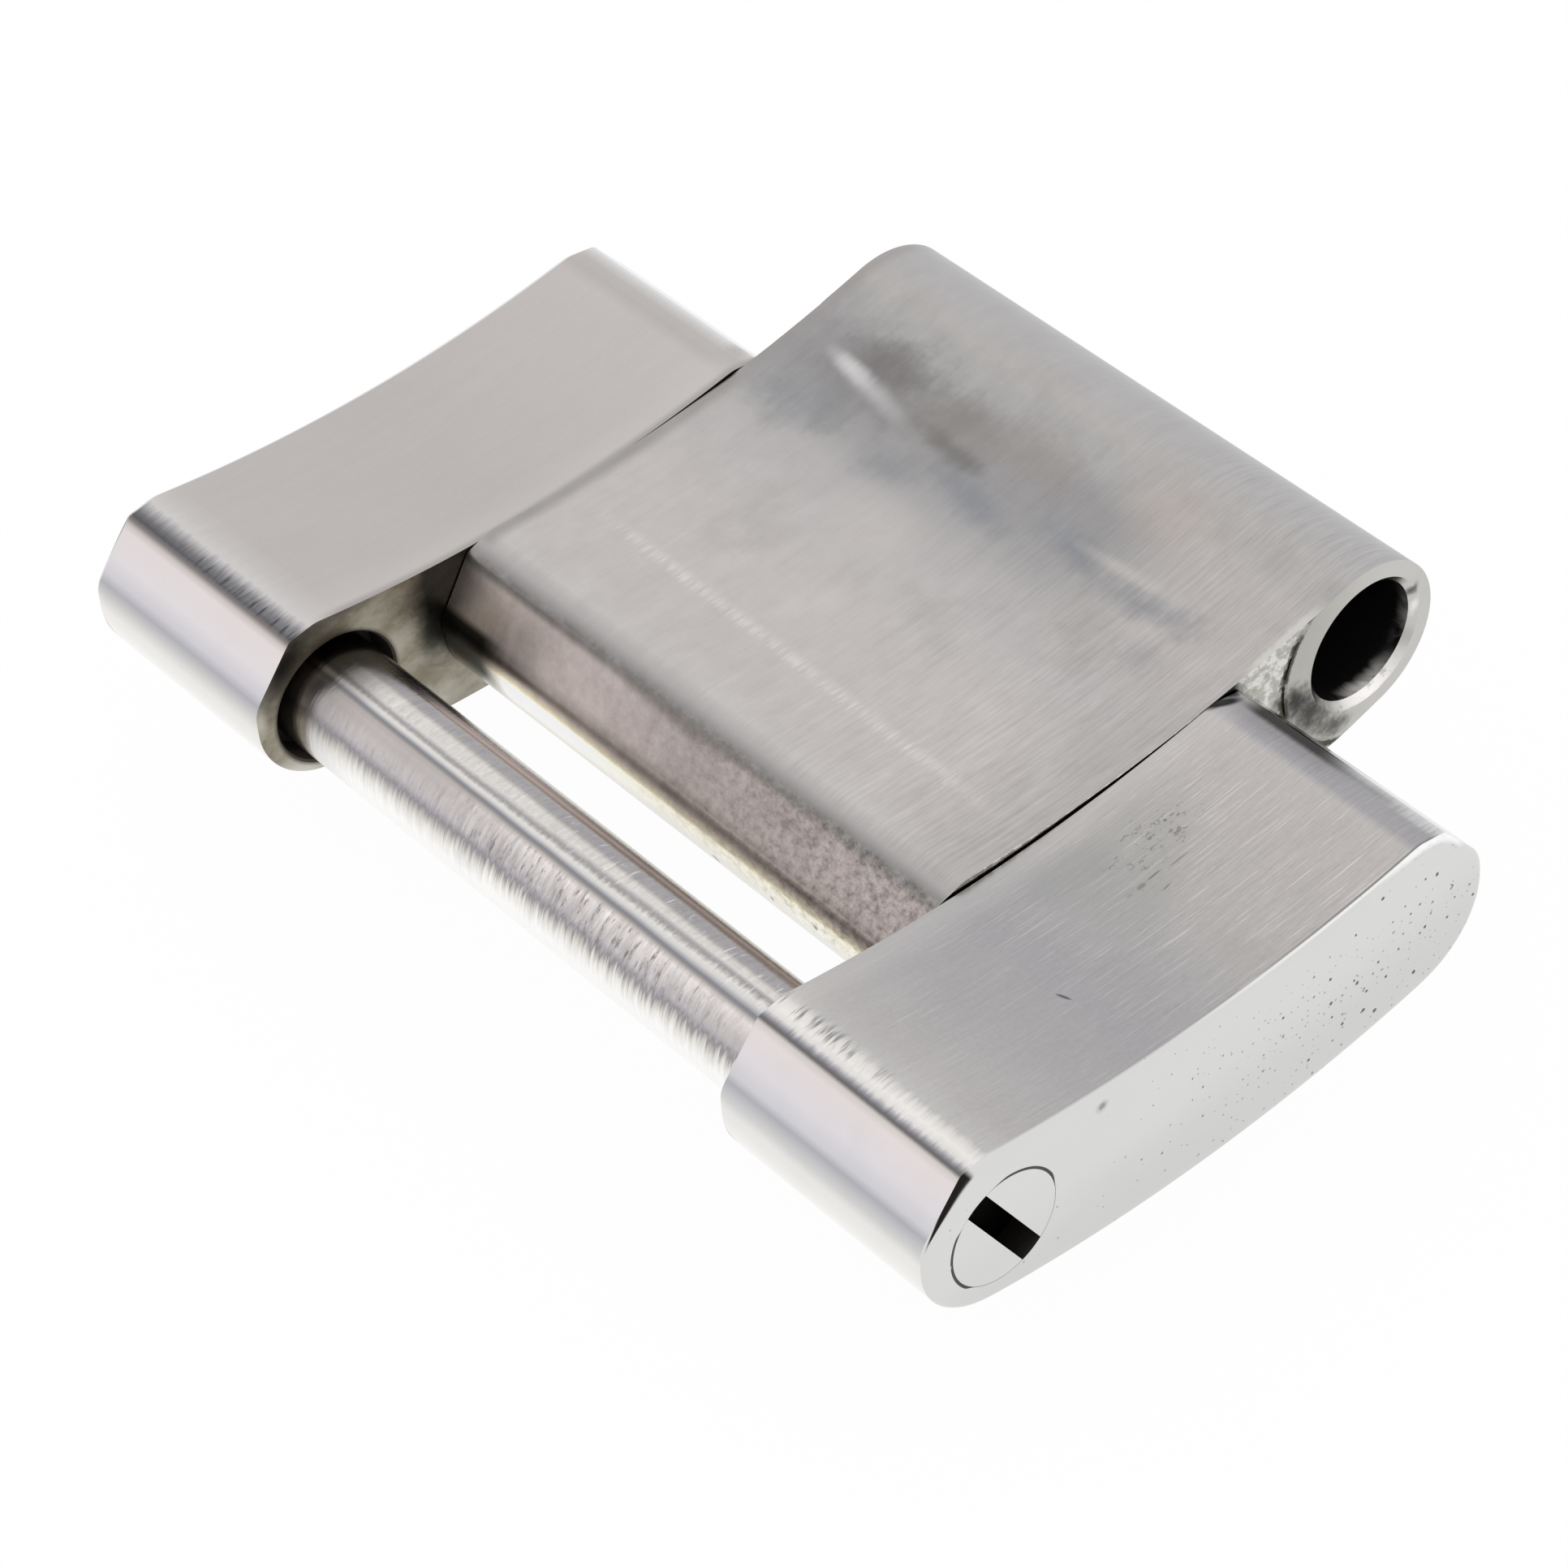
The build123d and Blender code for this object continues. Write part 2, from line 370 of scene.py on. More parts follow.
# an outer link from its side face to its cheek: side is -1 for the front one and 1 for the rear one;
# first and last are the hole's rings before the side face and after the cheek: (radius, distance from it)
def outerLink(name, side, inside, bevel, innerBevel, first, firstFinish, last, **ends):
    outline = closedOutline(facetedHalf(link["halfLength"], link["flankRadius"]),
                            facetedHalf(link["halfLength"], link["farFlankRadius"]))
    face, inner = side * outer["outside"], side * inside
    sideEdge = bevelRings(outline, bevel, face, -side, soft=outer["bevelSoft"])
    innerEdge = bevelRings(outline, innerBevel, inner, side, soft=outer["innerSoft"])[::-1]
    along = np.linspace(face - side * bevel, inner + side * innerBevel, outer["rows"])[1:-1]
    rings = [circleRing(outline, screwHole, radius, face + y) for radius, y in first]
    inset = outer["frontInset" if side < 0 else "rearInset"]
    rings.append(outlineRing(smoothed(outline, outer["bevelSoft"]), inset, face))
    rings += sideEdge + [outlineRing(outline, 0, y) for y in along] + innerEdge
    rings += [circleRing(outline, screwHole, radius, inner + y) for radius, y in last]
    finish = firstFinish + [sideFace] * (len(sideEdge) - 1) + [satinSkin] * (len(along) + len(innerEdge))
    finish += [cheek] + [holeWall] * (len(rings) - len(finish) - 1)
    return meshFromRings(name, rings, finish, outline[1], shift=(middleX, 0, 0), **ends)


def frontOuterLink():
    radius, mouth, lip = outer["boreRadius"], outer["mouthRadius"], outer["holeLip"]
    return outerLink("frontOuterSkin", -1, outer["frontInside"], outer["sideBevel"], outer["innerBevel"],
                     [(radius, outer["mouthStep"]), (mouth, outer["mouthDepth"]), (mouth, 0)],
                     [holeWall, holeWall, sideFace, sideFace], [(radius + lip, 0), (radius, -lip)])


def rearOuterLink():
    wide, narrow, lip = outer["counterbore"], outer["tapRadius"], outer["holeLip"]
    step = outer["counterboreDepth"]
    end = step + outer["tapDepth"]
    return outerLink("rearOuterSkin", 1, outer["rearInside"], outer["rearBevel"], outer["rearInnerBevel"],
                     [(outer["poleRing"], 0)], [sideFace, sideFace],
                     [(wide + lip, 0), (wide, lip), (wide, step), (narrow, step), (narrow, end)],
                     closed=False, firstPole=(-middleX, outer["outside"], 0),
                     lastPole=(-middleX, outer["rearInside"] + end, 0))


# where the middle of the centre link's outline lies
def centrePlace():
    x, z = swing(centre["pinToMiddle"], 0, centre["tilt"])
    return centre["pinX"] + x, z


def centreLink():
    nearEnd = facetedHalf(link["halfLength"] + link["centreReach"], link["flankRadius"])
    outline = closedOutline(nearEnd, ringedHalf())
    reach = np.linalg.norm(outline[0] - centreBore, axis=1)
    # 1 where the outline lies on the land, 0 where the lower side face reaches it
    onLand = np.clip((centre["landRadius"] + centre["landBlend"] - reach) / centre["landBlend"], 0, 1)
    drop = centre["landHeight"]
    # 0 where the sides are parallel, rising to 1 at the near end, where they come closer by the pinch
    closer = np.sqrt(np.clip((centre["closerFrom"] - outline[0][:, 0]) / centre["closerOver"], 0, 1))

    def sideRings(sign, side):
        width, edge = centre[side + "Width"], centre[side + "Edge"]
        landEdge = np.minimum(centre["landRadius"], reach - edge)
        edgeY = sign * (width - centre[side + "Pinch"] * closer - drop * (1 - onLand))
        bore, lip = centre["boreRadius"], centre["boreLip"]
        rings = [circleRing(outline, centreBore, radius, y) for radius, y in (
            (bore, sign * (width - lip)), (bore + lip, sign * width), (landEdge, sign * width),
            (np.minimum(landEdge + centre["landStep"], reach - edge), edgeY))]
        return rings + bevelRings(outline, edge, edgeY, -sign, count=6, power=1.8)

    plain = drop + centre["frontPinch"] + centre["frontEdge"]
    along = np.linspace(plain - centre["frontWidth"], centre["rearWidth"] - plain, centre["rows"])[1:-1]
    front, back = sideRings(-1, "front"), sideRings(1, "rear")[::-1]
    wall = [circleRing(outline, centreBore, centre["boreRadius"], y * centre["wallReach"]) for y in (1, -1)]
    rings = front + [outlineRing(outline, 0, y) for y in along] + back + wall
    finish = [sideFace] * (len(front) - 1) + [satinSkin] * (len(along) + 1)
    finish += [sideFace] * (len(back) - 1) + [holeWall] * 3
    placeX, placeZ = centrePlace()
    return meshFromRings("centreSkin", rings, finish, outline[1], tilt=centre["tilt"],
                         shift=(placeX, 0, placeZ))


# The screw: a slotted round head and plain shank, rounded where it enters the rear link
screw = {
    "radius": 0.80,
    "head": -8.0,
    "seat": 5.0,
    "slotWidth": 0.32,
    "slotDepth": 0.45,
    "slotAngle": -59.2,
    "rimRound": 0.002,
    "shoulderRound": 0.14,
    "tipRadius": 0.55,
    "tipLength": 1.90,
    "tipBevel": 0.12,
    "rows": 80,
}
turnedShank, screwHead, slotInside = 0, 1, 2            # material slots of the screw


# the rim is one loop of angles, low where the slot opens it; inside the rim each point slides
# parallel to the slot to the middle, where it is welded to its twin from the other side
def linkScrew():
    radius, head, half = screw["radius"], screw["head"], screw["slotWidth"] / 2
    seat, edge = screw["seat"], screw["rimRound"]
    floorY = head + screw["slotDepth"]
    slotTurn = math.radians(screw["slotAngle"])
    corner = math.asin(half / radius)
    flatCount, slotCount = 61, 13
    halfLoop = flatCount + slotCount
    flat = np.linspace(corner + 0.012, math.pi - corner - 0.012, flatCount)
    slot = np.linspace(-corner, corner, slotCount)
    angle = np.concatenate([slot, flat, slot + math.pi, flat + math.pi])
    n = np.arange(len(angle))
    low = (n % halfLoop) < slotCount
    twin = halfLoop + slotCount - 1 - n + np.where(low | (n < halfLoop), 0, 2 * halfLoop)
    rim = np.stack([np.cos(angle + slotTurn), np.sin(angle + slotTurn)], axis=1)
    axisWay = np.array([math.cos(slotTurn), math.sin(slotTurn)])
    acrossWay = np.array([-axisWay[1], axisWay[0]])
    middle = (radius - edge) * np.sin(angle)[:, None] * acrossWay
    faceY = np.where(low, floorY, head)
    turn = np.linspace(0, math.pi / 2, 6)[1:]
    rings = [ring(middle, faceY, faceY), ring(rim * (radius - edge), faceY, faceY)]
    rings += [ring(rim * (radius - edge * (1 - math.sin(t))),
                   np.maximum(faceY, head + edge * (1 - math.cos(t))), head) for t in turn]
    faceRows = len(rings) - 1
    shoulder = screw["shoulderRound"]
    sides = [(radius, y) for y in np.linspace(floorY + 0.001, seat - shoulder, screw["rows"])]
    sides += [(radius - shoulder * (1 - math.cos(t)), seat - shoulder * (1 - math.sin(t))) for t in turn]
    tip, end = screw["tipRadius"], seat + screw["tipLength"]
    sides += [(tip, seat), (tip, end - screw["tipBevel"]), (tip - screw["tipBevel"], end)]
    rings += [ring(rim * r, y, y) for r, y in sides]
    finish = np.full((len(rings), len(angle)), turnedShank)
    finish[:faceRows] = screwHead
    inSlot = np.isin(n % halfLoop, (halfLoop - 1, *range(slotCount)))
    finish[:faceRows, inSlot] = slotInside
    return meshFromRings("screwSkin", rings, finish, np.degrees(angle + slotTurn), lastPole=(0, end, 0),
                         twin=twin, closed=False, sharp=30)


frontSkin, rearSkin, centreSkin, screwSkin = frontOuterLink(), rearOuterLink(), centreLink(), linkScrew()
for piece, node, body, slot in (
        (frontSkin, "front_outer_link", "outer_links", "link_steel"),
        (rearSkin, "rear_outer_link", "outer_links", "link_steel"),
        (centreSkin, "centre_link", "centre", "link_steel"),
        (screwSkin, "link_screw", "screw", "screw_steel")):
    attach(piece, body)
    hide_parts(node)
print("pieces built")


# a tone as the screen shows it, 0 to 255, turned into the linear colour that nodes take
def tone(*screen):
    part = np.asarray(screen, float) / 255
    linear = np.where(part <= 0.04045, part / 12.92, ((part + 0.055) / 1.055) ** 2.4)
    return (*linear.tolist(), 1.0)


# a number or vector that varies over a surface: one output of a node, with plain arithmetic
class Field:
    def __init__(self, paint, socket):
        self.paint, self.socket = paint, socket

    def __add__(self, other):
        return self.paint.calc("ADD", self, other)

    def __mul__(self, other):
        return self.paint.calc("MULTIPLY", self, other)

    def __sub__(self, other):
        return self.paint.calc("SUBTRACT", self, other)

    def __rsub__(self, other):
        return self.paint.calc("SUBTRACT", other, self)

    def __abs__(self):
        return self.paint.calc("ABSOLUTE", self)

    __radd__, __rmul__ = __add__, __mul__


# one finish: its look, its nodes and its colour so far; s and v are the millimetres travelled round
# the outline and across the bracelet, from the travel map, and x, y, z are millimetres in the object
class Paint:
    def __init__(self, name, look, base=None, metallic=1):
        self.look = look
        self.material = bpy.data.materials.new(name)
        self.material.use_nodes = True
        self.nodes, self.links = self.material.node_tree.nodes, self.material.node_tree.links
        self.shader = self.nodes["Principled BSDF"]
        self.shader.inputs["Metallic"].default_value = metallic
        self.colour = base and tone(*look[base])
        place = Field(self, self.node("TexCoord").outputs["Object"])
        self.x, self.y, self.z = self.split(self.scale(place, 1 / mm))
        self.s, self.v = self.split(self.make("UVMap", uv_map="travel"))[:2]

    def wire(self, socket, value):
        if isinstance(value, Field):
            self.links.new(value.socket, socket)
        else:
            socket.default_value = value

    # a new node with these settings and these first inputs, each a field or a constant
    def node(self, kind, *inputs, **settings):
        made = self.nodes.new("ShaderNode" + kind)
        for name, value in settings.items():
            setattr(made, name, value)
        for socket, value in zip(made.inputs, inputs):
            self.wire(socket, value)
        return made

    def make(self, kind, *inputs, **settings):
        return Field(self, self.node(kind, *inputs, **settings).outputs[0])

    def calc(self, operation, *values):
        return self.make("Math", *values, operation=operation)

    def split(self, vector):
        return [Field(self, out) for out in self.node("SeparateXYZ", vector).outputs]

    def scale(self, vector, amount):
        made = self.node("VectorMath", vector, operation="SCALE")
        self.wire(made.inputs["Scale"], amount)
        return Field(self, made.outputs[0])

    def mix(self, share, under, over):
        made = self.node("Mix", data_type="RGBA")
        for index, value in ((0, share), (6, under), (7, over)):
            self.wire(made.inputs[index], value)
        return Field(self, made.outputs[2])

    # lays a tone over the colour, by name from the look or as the screen shows it
    def lay(self, share, screen):
        screen = self.look[screen] if isinstance(screen, str) else screen
        self.colour = self.mix(share, self.colour, tone(*screen))

    def brighten(self, amount):
        self.colour = self.scale(self.colour, amount)

    # colour by place between the stops, each given as (place, red, green, blue)
    def ramp(self, value, stops):
        low, high = stops[0][0], stops[-1][0]
        made = self.node("ValToRGB", self.make("MapRange", value, low, high))
        elements = made.color_ramp.elements
        elements[0].color, elements[1].color = tone(*stops[0][1:]), tone(*stops[-1][1:])
        for place, *screen in stops[1:-1]:
            elements.new((place - low) / (high - low)).color = tone(*screen)
        return Field(self, made.outputs[0])

    # the look's bands end to end, each with its own full number of steps and the last one's end as start
    def ramps(self, value, *names):
        start = []
        for name in names:
            stops = start + sorted(self.look[name].values())
            colour = self.ramp(value, stops)
            if start:
                colour = self.mix(self.calc("GREATER_THAN", value, stops[0][0]), self.colour, colour)
            self.colour, start = colour, stops[-1:]

    # lays the look's marks: {name: (a, b, half length, half width, turn, tone, strength)}
    def marks(self, a, b, name, ragged, soft=0.6):
        for middleA, middleB, reach, width, turn, screen, strength in self.look[name].values():
            mask = patch(a, b, (middleA, middleB), (reach, width), turn, soft, ragged)
            self.lay(mask * strength, screen)

    def finish(self, roughness, height, depth):
        relief = self.node("Bump")
        for name, value in (("Strength", 0.6), ("Distance", depth * mm), ("Height", height)):
            self.wire(relief.inputs[name], value)
        for name, value in (("Base Color", self.colour), ("Roughness", roughness),
                            ("Normal", Field(self, relief.outputs[0]))):
            self.wire(self.shader.inputs[name], value)
        return self.material


# 0 below low and 1 above high with a smooth step between; low above high makes it fall
def rise(value, low, high):
    return value.paint.make("MapRange", value, low, high, interpolation_type="SMOOTHSTEP")


# 1 between two limits and 0 outside them: the product of the rises from a to b and from d to c
def band(value, a, b, d, c):
    return rise(value, a, b) * rise(value, d, c)


# 1 at the middle of a line and 0 from its half width outwards
def line(value, middle, halfWidth):
    return rise(abs(value - middle), halfWidth, 0)


def length(a, b):
    return a.paint.calc("SQRT", a * a + b * b)


# noise between about -1 and 1 on a grid already stretched as wanted
def noise(a, b, detail=2, rough=0.5, seed=0):
    made = a.paint.node("TexNoise", a.paint.make("CombineXYZ", a, b, seed))
    for name, value in (("Scale", 1), ("Detail", detail), ("Roughness", rough)):
        made.inputs[name].default_value = value
    return Field(a.paint, made.outputs[0]) * 2 - 1


# small round pits: one in each cell of a grid whose random number is below dense, of random size
def pits(a, b, dense, size, seed):
    cell = a.paint.node("TexVoronoi", a.paint.make("CombineXYZ", a + seed, b), voronoi_dimensions="2D")
    cell.inputs["Scale"].default_value = 1
    parts = a.paint.node("SeparateColor", Field(a.paint, cell.outputs["Color"])).outputs
    chance, scatter = (Field(a.paint, parts[n]) for n in range(2))
    reach = (scatter * 0.65 + 0.35) * rise(dense - chance, 0, 0.02) * size + 0.0001
    return rise(Field(a.paint, cell.outputs["Distance"]), reach, reach * 0.4)


# 1 on round spots, each given as (a, b, radius)
def spots(a, b, places, ragged):
    here, nearest = a.paint.make("CombineXYZ", a, b), 9
    for middleA, middleB, radius in places:
        apart = a.paint.node("VectorMath", here, (middleA, middleB, 0), operation="DISTANCE")
        nearest = a.paint.calc("MINIMUM", nearest, Field(a.paint, apart.outputs["Value"]) * (1 / radius))
    return rise(nearest + ragged, 1, 0.5)


# 1 inside an ellipse with a soft rim: its middle, half length, half width, and turn in degrees
def patch(a, b, middle, reach, turn=0, soft=0.5, ragged=0):
    cosine, sine = math.cos(math.radians(turn)), math.sin(math.radians(turn))
    da, db = a - middle[0], b - middle[1]
    along = (da * cosine + db * sine) * (1 / reach[0])
    across = (db * cosine - da * sine) * (1 / reach[1])
    return rise(length(along, across) + ragged, 1, 1 - soft)


# Satin skin of an outer link: brushed along its length, with polished facets at its ends, and painted
# reflections and shade in the bands along its ends and creases
outerSatin = {
    "scratch": (220, 217, 214),
    "grooveDark": (126, 124, 123),
    "lifted": (202, 198, 196),
    "scuff": (226, 225, 225),
    "rimShade": (122, 120, 121),
}
frontSatin = {
    **outerSatin,
    "nearEnd": {
        "belly": (-7.6, 190, 187, 185), "toe low": (-6.6, 240, 238, 235), "toe": (-5.9, 246, 244, 240),
        "under facet": (-5.2, 232, 230, 227), "facet edge": (-4.95, 205, 204, 205),
        "edge line": (-4.8, 176, 175, 181),
        "facet foot": (-4.7, 206, 205, 210), "facet": (-4.45, 222, 217, 221),
        "facet top": (-4.08, 227, 219, 218),
    },
    "crease": {
        "crease side": (-3.98, 210, 204, 200), "crease": (-3.93, 112, 108, 108),
        "crease low": (-3.90, 120, 117, 119),
        "crease lip": (-3.86, 156, 155, 161),
        "band": (-3.79, 222, 219, 217), "band middle": (-3.69, 236, 233, 229),
        "band end": (-3.58, 218, 215, 213),
        "top near": (-3.5, 190, 188, 186), "top a": (-3.1, 180, 177, 176),
    },
    "top": {
        "top b": (-2, 170, 168, 169),
        "top c": (-0.8, 165, 163, 165), "top d": (0.2, 170, 168, 168), "top e": (1.2, 180, 176, 174),
        "top f": (3.3, 188, 183, 181),
    },
    "farEnd": {
        "top end": (3.36, 187, 183, 181),
        "far band": (3.47, 165, 163, 166), "far band end": (3.74, 160, 158, 161),
        "far crease": (3.82, 150, 149, 151), "far facet": (3.94, 196, 195, 195),
        "far facet foot": (4.9, 214, 213, 213),
        "far toe": (6, 225, 224, 222), "far belly": (7.6, 190, 187, 185),
    },
    "teeth": 0.15,
    "comb": (122, 120, 119),
    "combLight": (234, 231, 228),
    "combMiddle": -3.57,
    "combEnds": (-7.2, -5.2),
    "combStrength": 0.8,
    "combHalf": 0.2,
    "grain": 0.11,
    "farGrain": 0.13,
    "speckle": 0.09,
    "scratches": 0.2,
    "farScratches": 0.5,
    "cornerScuffs": 0.6,
    "rim": 0.85,
    "clouds": 0.06,
    "gapShade": (64, 62, 61),
    "gapShadeReach": (6.7, 5.9),
    "marks": {
        "tick": (-1.05, -6.61, 0.135, 0.03, -70, (98, 100, 108), 0.95),
        "smear": (0.86, -5.94, 0.10, 0.045, 5, (130, 121, 118), 0.85),
        "scratch": (1.09, -5.915, 0.16, 0.016, 3, (108, 101, 99), 1),
        "scratch end": (1.46, -5.95, 0.22, 0.018, 2, (144, 136, 134), 0.85),
        "scratch two": (1.06, -6.16, 0.11, 0.014, 8, (122, 115, 113), 0.9),
        "scratch foot": (0.66, -5.95, 0.06, 0.03, 0, (146, 139, 136), 0.7),
        "speck": (1.8, -5.38, 0.034, 0.024, 0, (84, 84, 85), 0.8),
        "speck two": (1.97, -5.43, 0.05, 0.018, 15, (92, 92, 93), 0.7),
        "dull": (1.1, -5.6, 1.6, 0.9, 35, (154, 156, 152), 0.3),
        "dull two": (0.4, -5.2, 0.9, 0.5, 0, (152, 153, 152), 0.3),
        "corner shade": (3.60, -4.56, 0.34, 0.10, -20, (40, 39, 38), 1),
    },
    "specks": {
        "cluster": (1.85, -5.42, 0.2, 0.17, 78), "cluster two": (0.72, -5.98, 0.2, 0.14, 96),
        "loose": (1.5, -5.5, 1.3, 0.8, 110),
    },
}
rearSatin = {
    **outerSatin,
    "nearEnd": {
        "belly": (-7.6, 190, 187, 185), "toe low": (-6.6, 242, 240, 237), "toe": (-5.9, 247, 245, 241),
        "under facet": (-5.3, 235, 232, 228), "facet edge": (-5, 203, 201, 200),
        "edge line": (-4.87, 178, 177, 183),
        "facet foot": (-4.74, 208, 205, 211), "facet": (-4.5, 224, 219, 221),
        "facet top": (-4.12, 226, 217, 217),
    },
    "crease": {
        "crease side": (-4.03, 203, 195, 192), "crease edge": (-3.96, 136, 130, 128),
        "crease": (-3.89, 90, 90, 94),
        "crease lip": (-3.80, 118, 117, 120), "band": (-3.72, 158, 156, 158),
        "band end": (-3.6, 205, 202, 201),
        "top near": (-3.4, 196, 192, 190), "top a": (-3.1, 188, 183, 181),
    },
    "top": {
        "top b": (0, 187, 182, 180), "top c": (3.3, 194, 189, 187),
    },
    "farEnd": {
        "far band": (3.5, 184, 179, 176), "far band end": (3.7, 186, 182, 179),
        "far crease": (3.84, 205, 203, 201), "far facet": (3.96, 228, 229, 232),
        "far toe": (6, 232, 231, 229),
        "far belly": (7.6, 190, 187, 185),
    },
    "teeth": 0.13,
    "comb": (66, 66, 71),
    "combLight": (136, 135, 138),
    "combMiddle": -3.82,
    "combEnds": (8, 5.2),
    "combStrength": 0.75,
    "combHalf": 0.15,
    "grain": 0.05,
    "farGrain": 0,
    "speckle": 0.03,
    "scratches": 0.03,
    "farScratches": 0,
    "cornerScuffs": 0,
    "rim": 0,
    "gapGrooveShade": 0.85,
    "gapGrooveShadeTone": (164, 160, 158),
    "clouds": 0.03,
    "gapShade": (150, 145, 142),
    "gapShadeReach": (5.1, 4.6),
    "marks": {},
    "specks": {},
}


def satinOuter(name, look):
    paint = Paint(name, look)
    s, y = paint.s, paint.y
    width = abs(y)
    # brushed grooves end at slightly different places, so the bands' edges are toothed
    teeth = noise(s * 0.8, y * 11, 3, 0.7)
    uneven = noise(s * 0.2, y * 1.3, 1, 0.5, 21)
    reach = rise(s, -3.98, -3.70) * (rise(s, 3.2, 2.4) * 0.8 + 0.2)
    combed = s + teeth * reach * look["teeth"] * (uneven * 0.5 + 0.75)
    # the end and crease bands are painted reflections and shade: pale toes and facets, dark lines along the
    # creases and the far band
    paint.ramps(combed, "nearEnd", "crease", "top", "farEnd")
    onTop = rise(combed, -3.62, -3.45) * rise(s, 4, 3.8)
    # dark and light ticks of painted reflection along the band by the crease
    comb = line(combed, look["combMiddle"], look["combHalf"]) * rise(y, *look["combEnds"])
    ticks = noise(s * 1.3, y * 15, 3, 0.6, 31)
    paint.lay(rise(ticks, 0.2, -0.1) * comb * 0.5, "combLight")
    paint.lay(rise(ticks, 0, 0.22) * comb * look["combStrength"], "comb")
    # brushing: fine grooves, longer scratches, broad drifts and faint clouds
    fine = noise(s * 1.5, y * 27, 5, 0.72, 3)
    hairs = noise(s * 1, y * 38, 3, 0.6, 51)
    speckle = noise(s * 13, y * 15, 3, 0.65, 71)
    broad = noise(s * 0.5, y * 5.5, 3, 0.5, 7)
    cloud = noise(s * 1.1, y * 1.1, 4, 0.6, 11)
    far = rise(s, -1.8, 1.8)
    grain = far * look["farGrain"] + look["grain"]
    light = fine * grain * (onTop * 0.85 + 0.15) + broad * onTop * 0.03 + cloud * look["clouds"] + 1
    light = light + speckle * onTop * look["speckle"]
    paint.brighten(light)
    scored = onTop * (rise(s, 3.45, 3.2) * 0.75 + 0.25) * (far * look["farScratches"] + look["scratches"])
    paint.lay(rise(hairs, 0.12, 0.4) * scored, "scratch")
    paint.lay(rise(hairs, -0.2, -0.5) * scored * 0.7, "grooveDark")
    paint.lay(rise(width, 5.1, 4.6) * onTop * 0.35, "lifted")
    # the far crease is dark beside the centre link and scuffed towards the outside
    nearGap = rise(width, *look["gapShadeReach"]) * rise(s, 5.5, 4.9)
    farEdge = rise(combed, 3.70, 3.82)
    shaded = (rise(combed, 3.42, 3.70) * 0.2 + farEdge * rise(width, 4.6, 5) * 0.8) * nearGap
    paint.lay(shaded, "gapShade")
    scuffed = farEdge * rise(width, 6.9, 7.6) * rise(fine + teeth, -0.8, 0.35)
    paint.lay(scuffed * look["cornerScuffs"], "scuff")
    # painted shade along the rear link's inner edge, beside the gap
    if "gapGrooveShade" in look:
        gapGrooveShade = rise(width, 4.62, 4.50) * rise(s, -3.6, -3) * look["gapGrooveShade"]
        paint.lay(gapGrooveShade, "gapGrooveShadeTone")
    # a painted shade line along the outer edge, beside the bevel's highlight
    rim = line(width + fine * 0.012, 7.942, 0.026) * band(s, -0.5, 2.5, 3.9, 3.7)
    paint.lay(rim * look["rim"], "rimShade")
    paint.marks(s, y, "marks", teeth * 0.15)
    for a, b, reach, across, screen in look["specks"].values():
        where = patch(s, y, (a, b), (reach, across), 0, 1, teeth * 0.4)
        specks = rise(noise(s * 8, y * 15, 4, 0.72, a) + where * 0.3, 0.36, 0.5) * where
        paint.lay(specks * 0.75, (screen, screen, screen))
    roughness = fine * 0.06 + cloud * 0.04 + onTop * 0.14 + 0.16
    return paint.finish(roughness, fine * onTop + broad * 0.3, 0.0012)
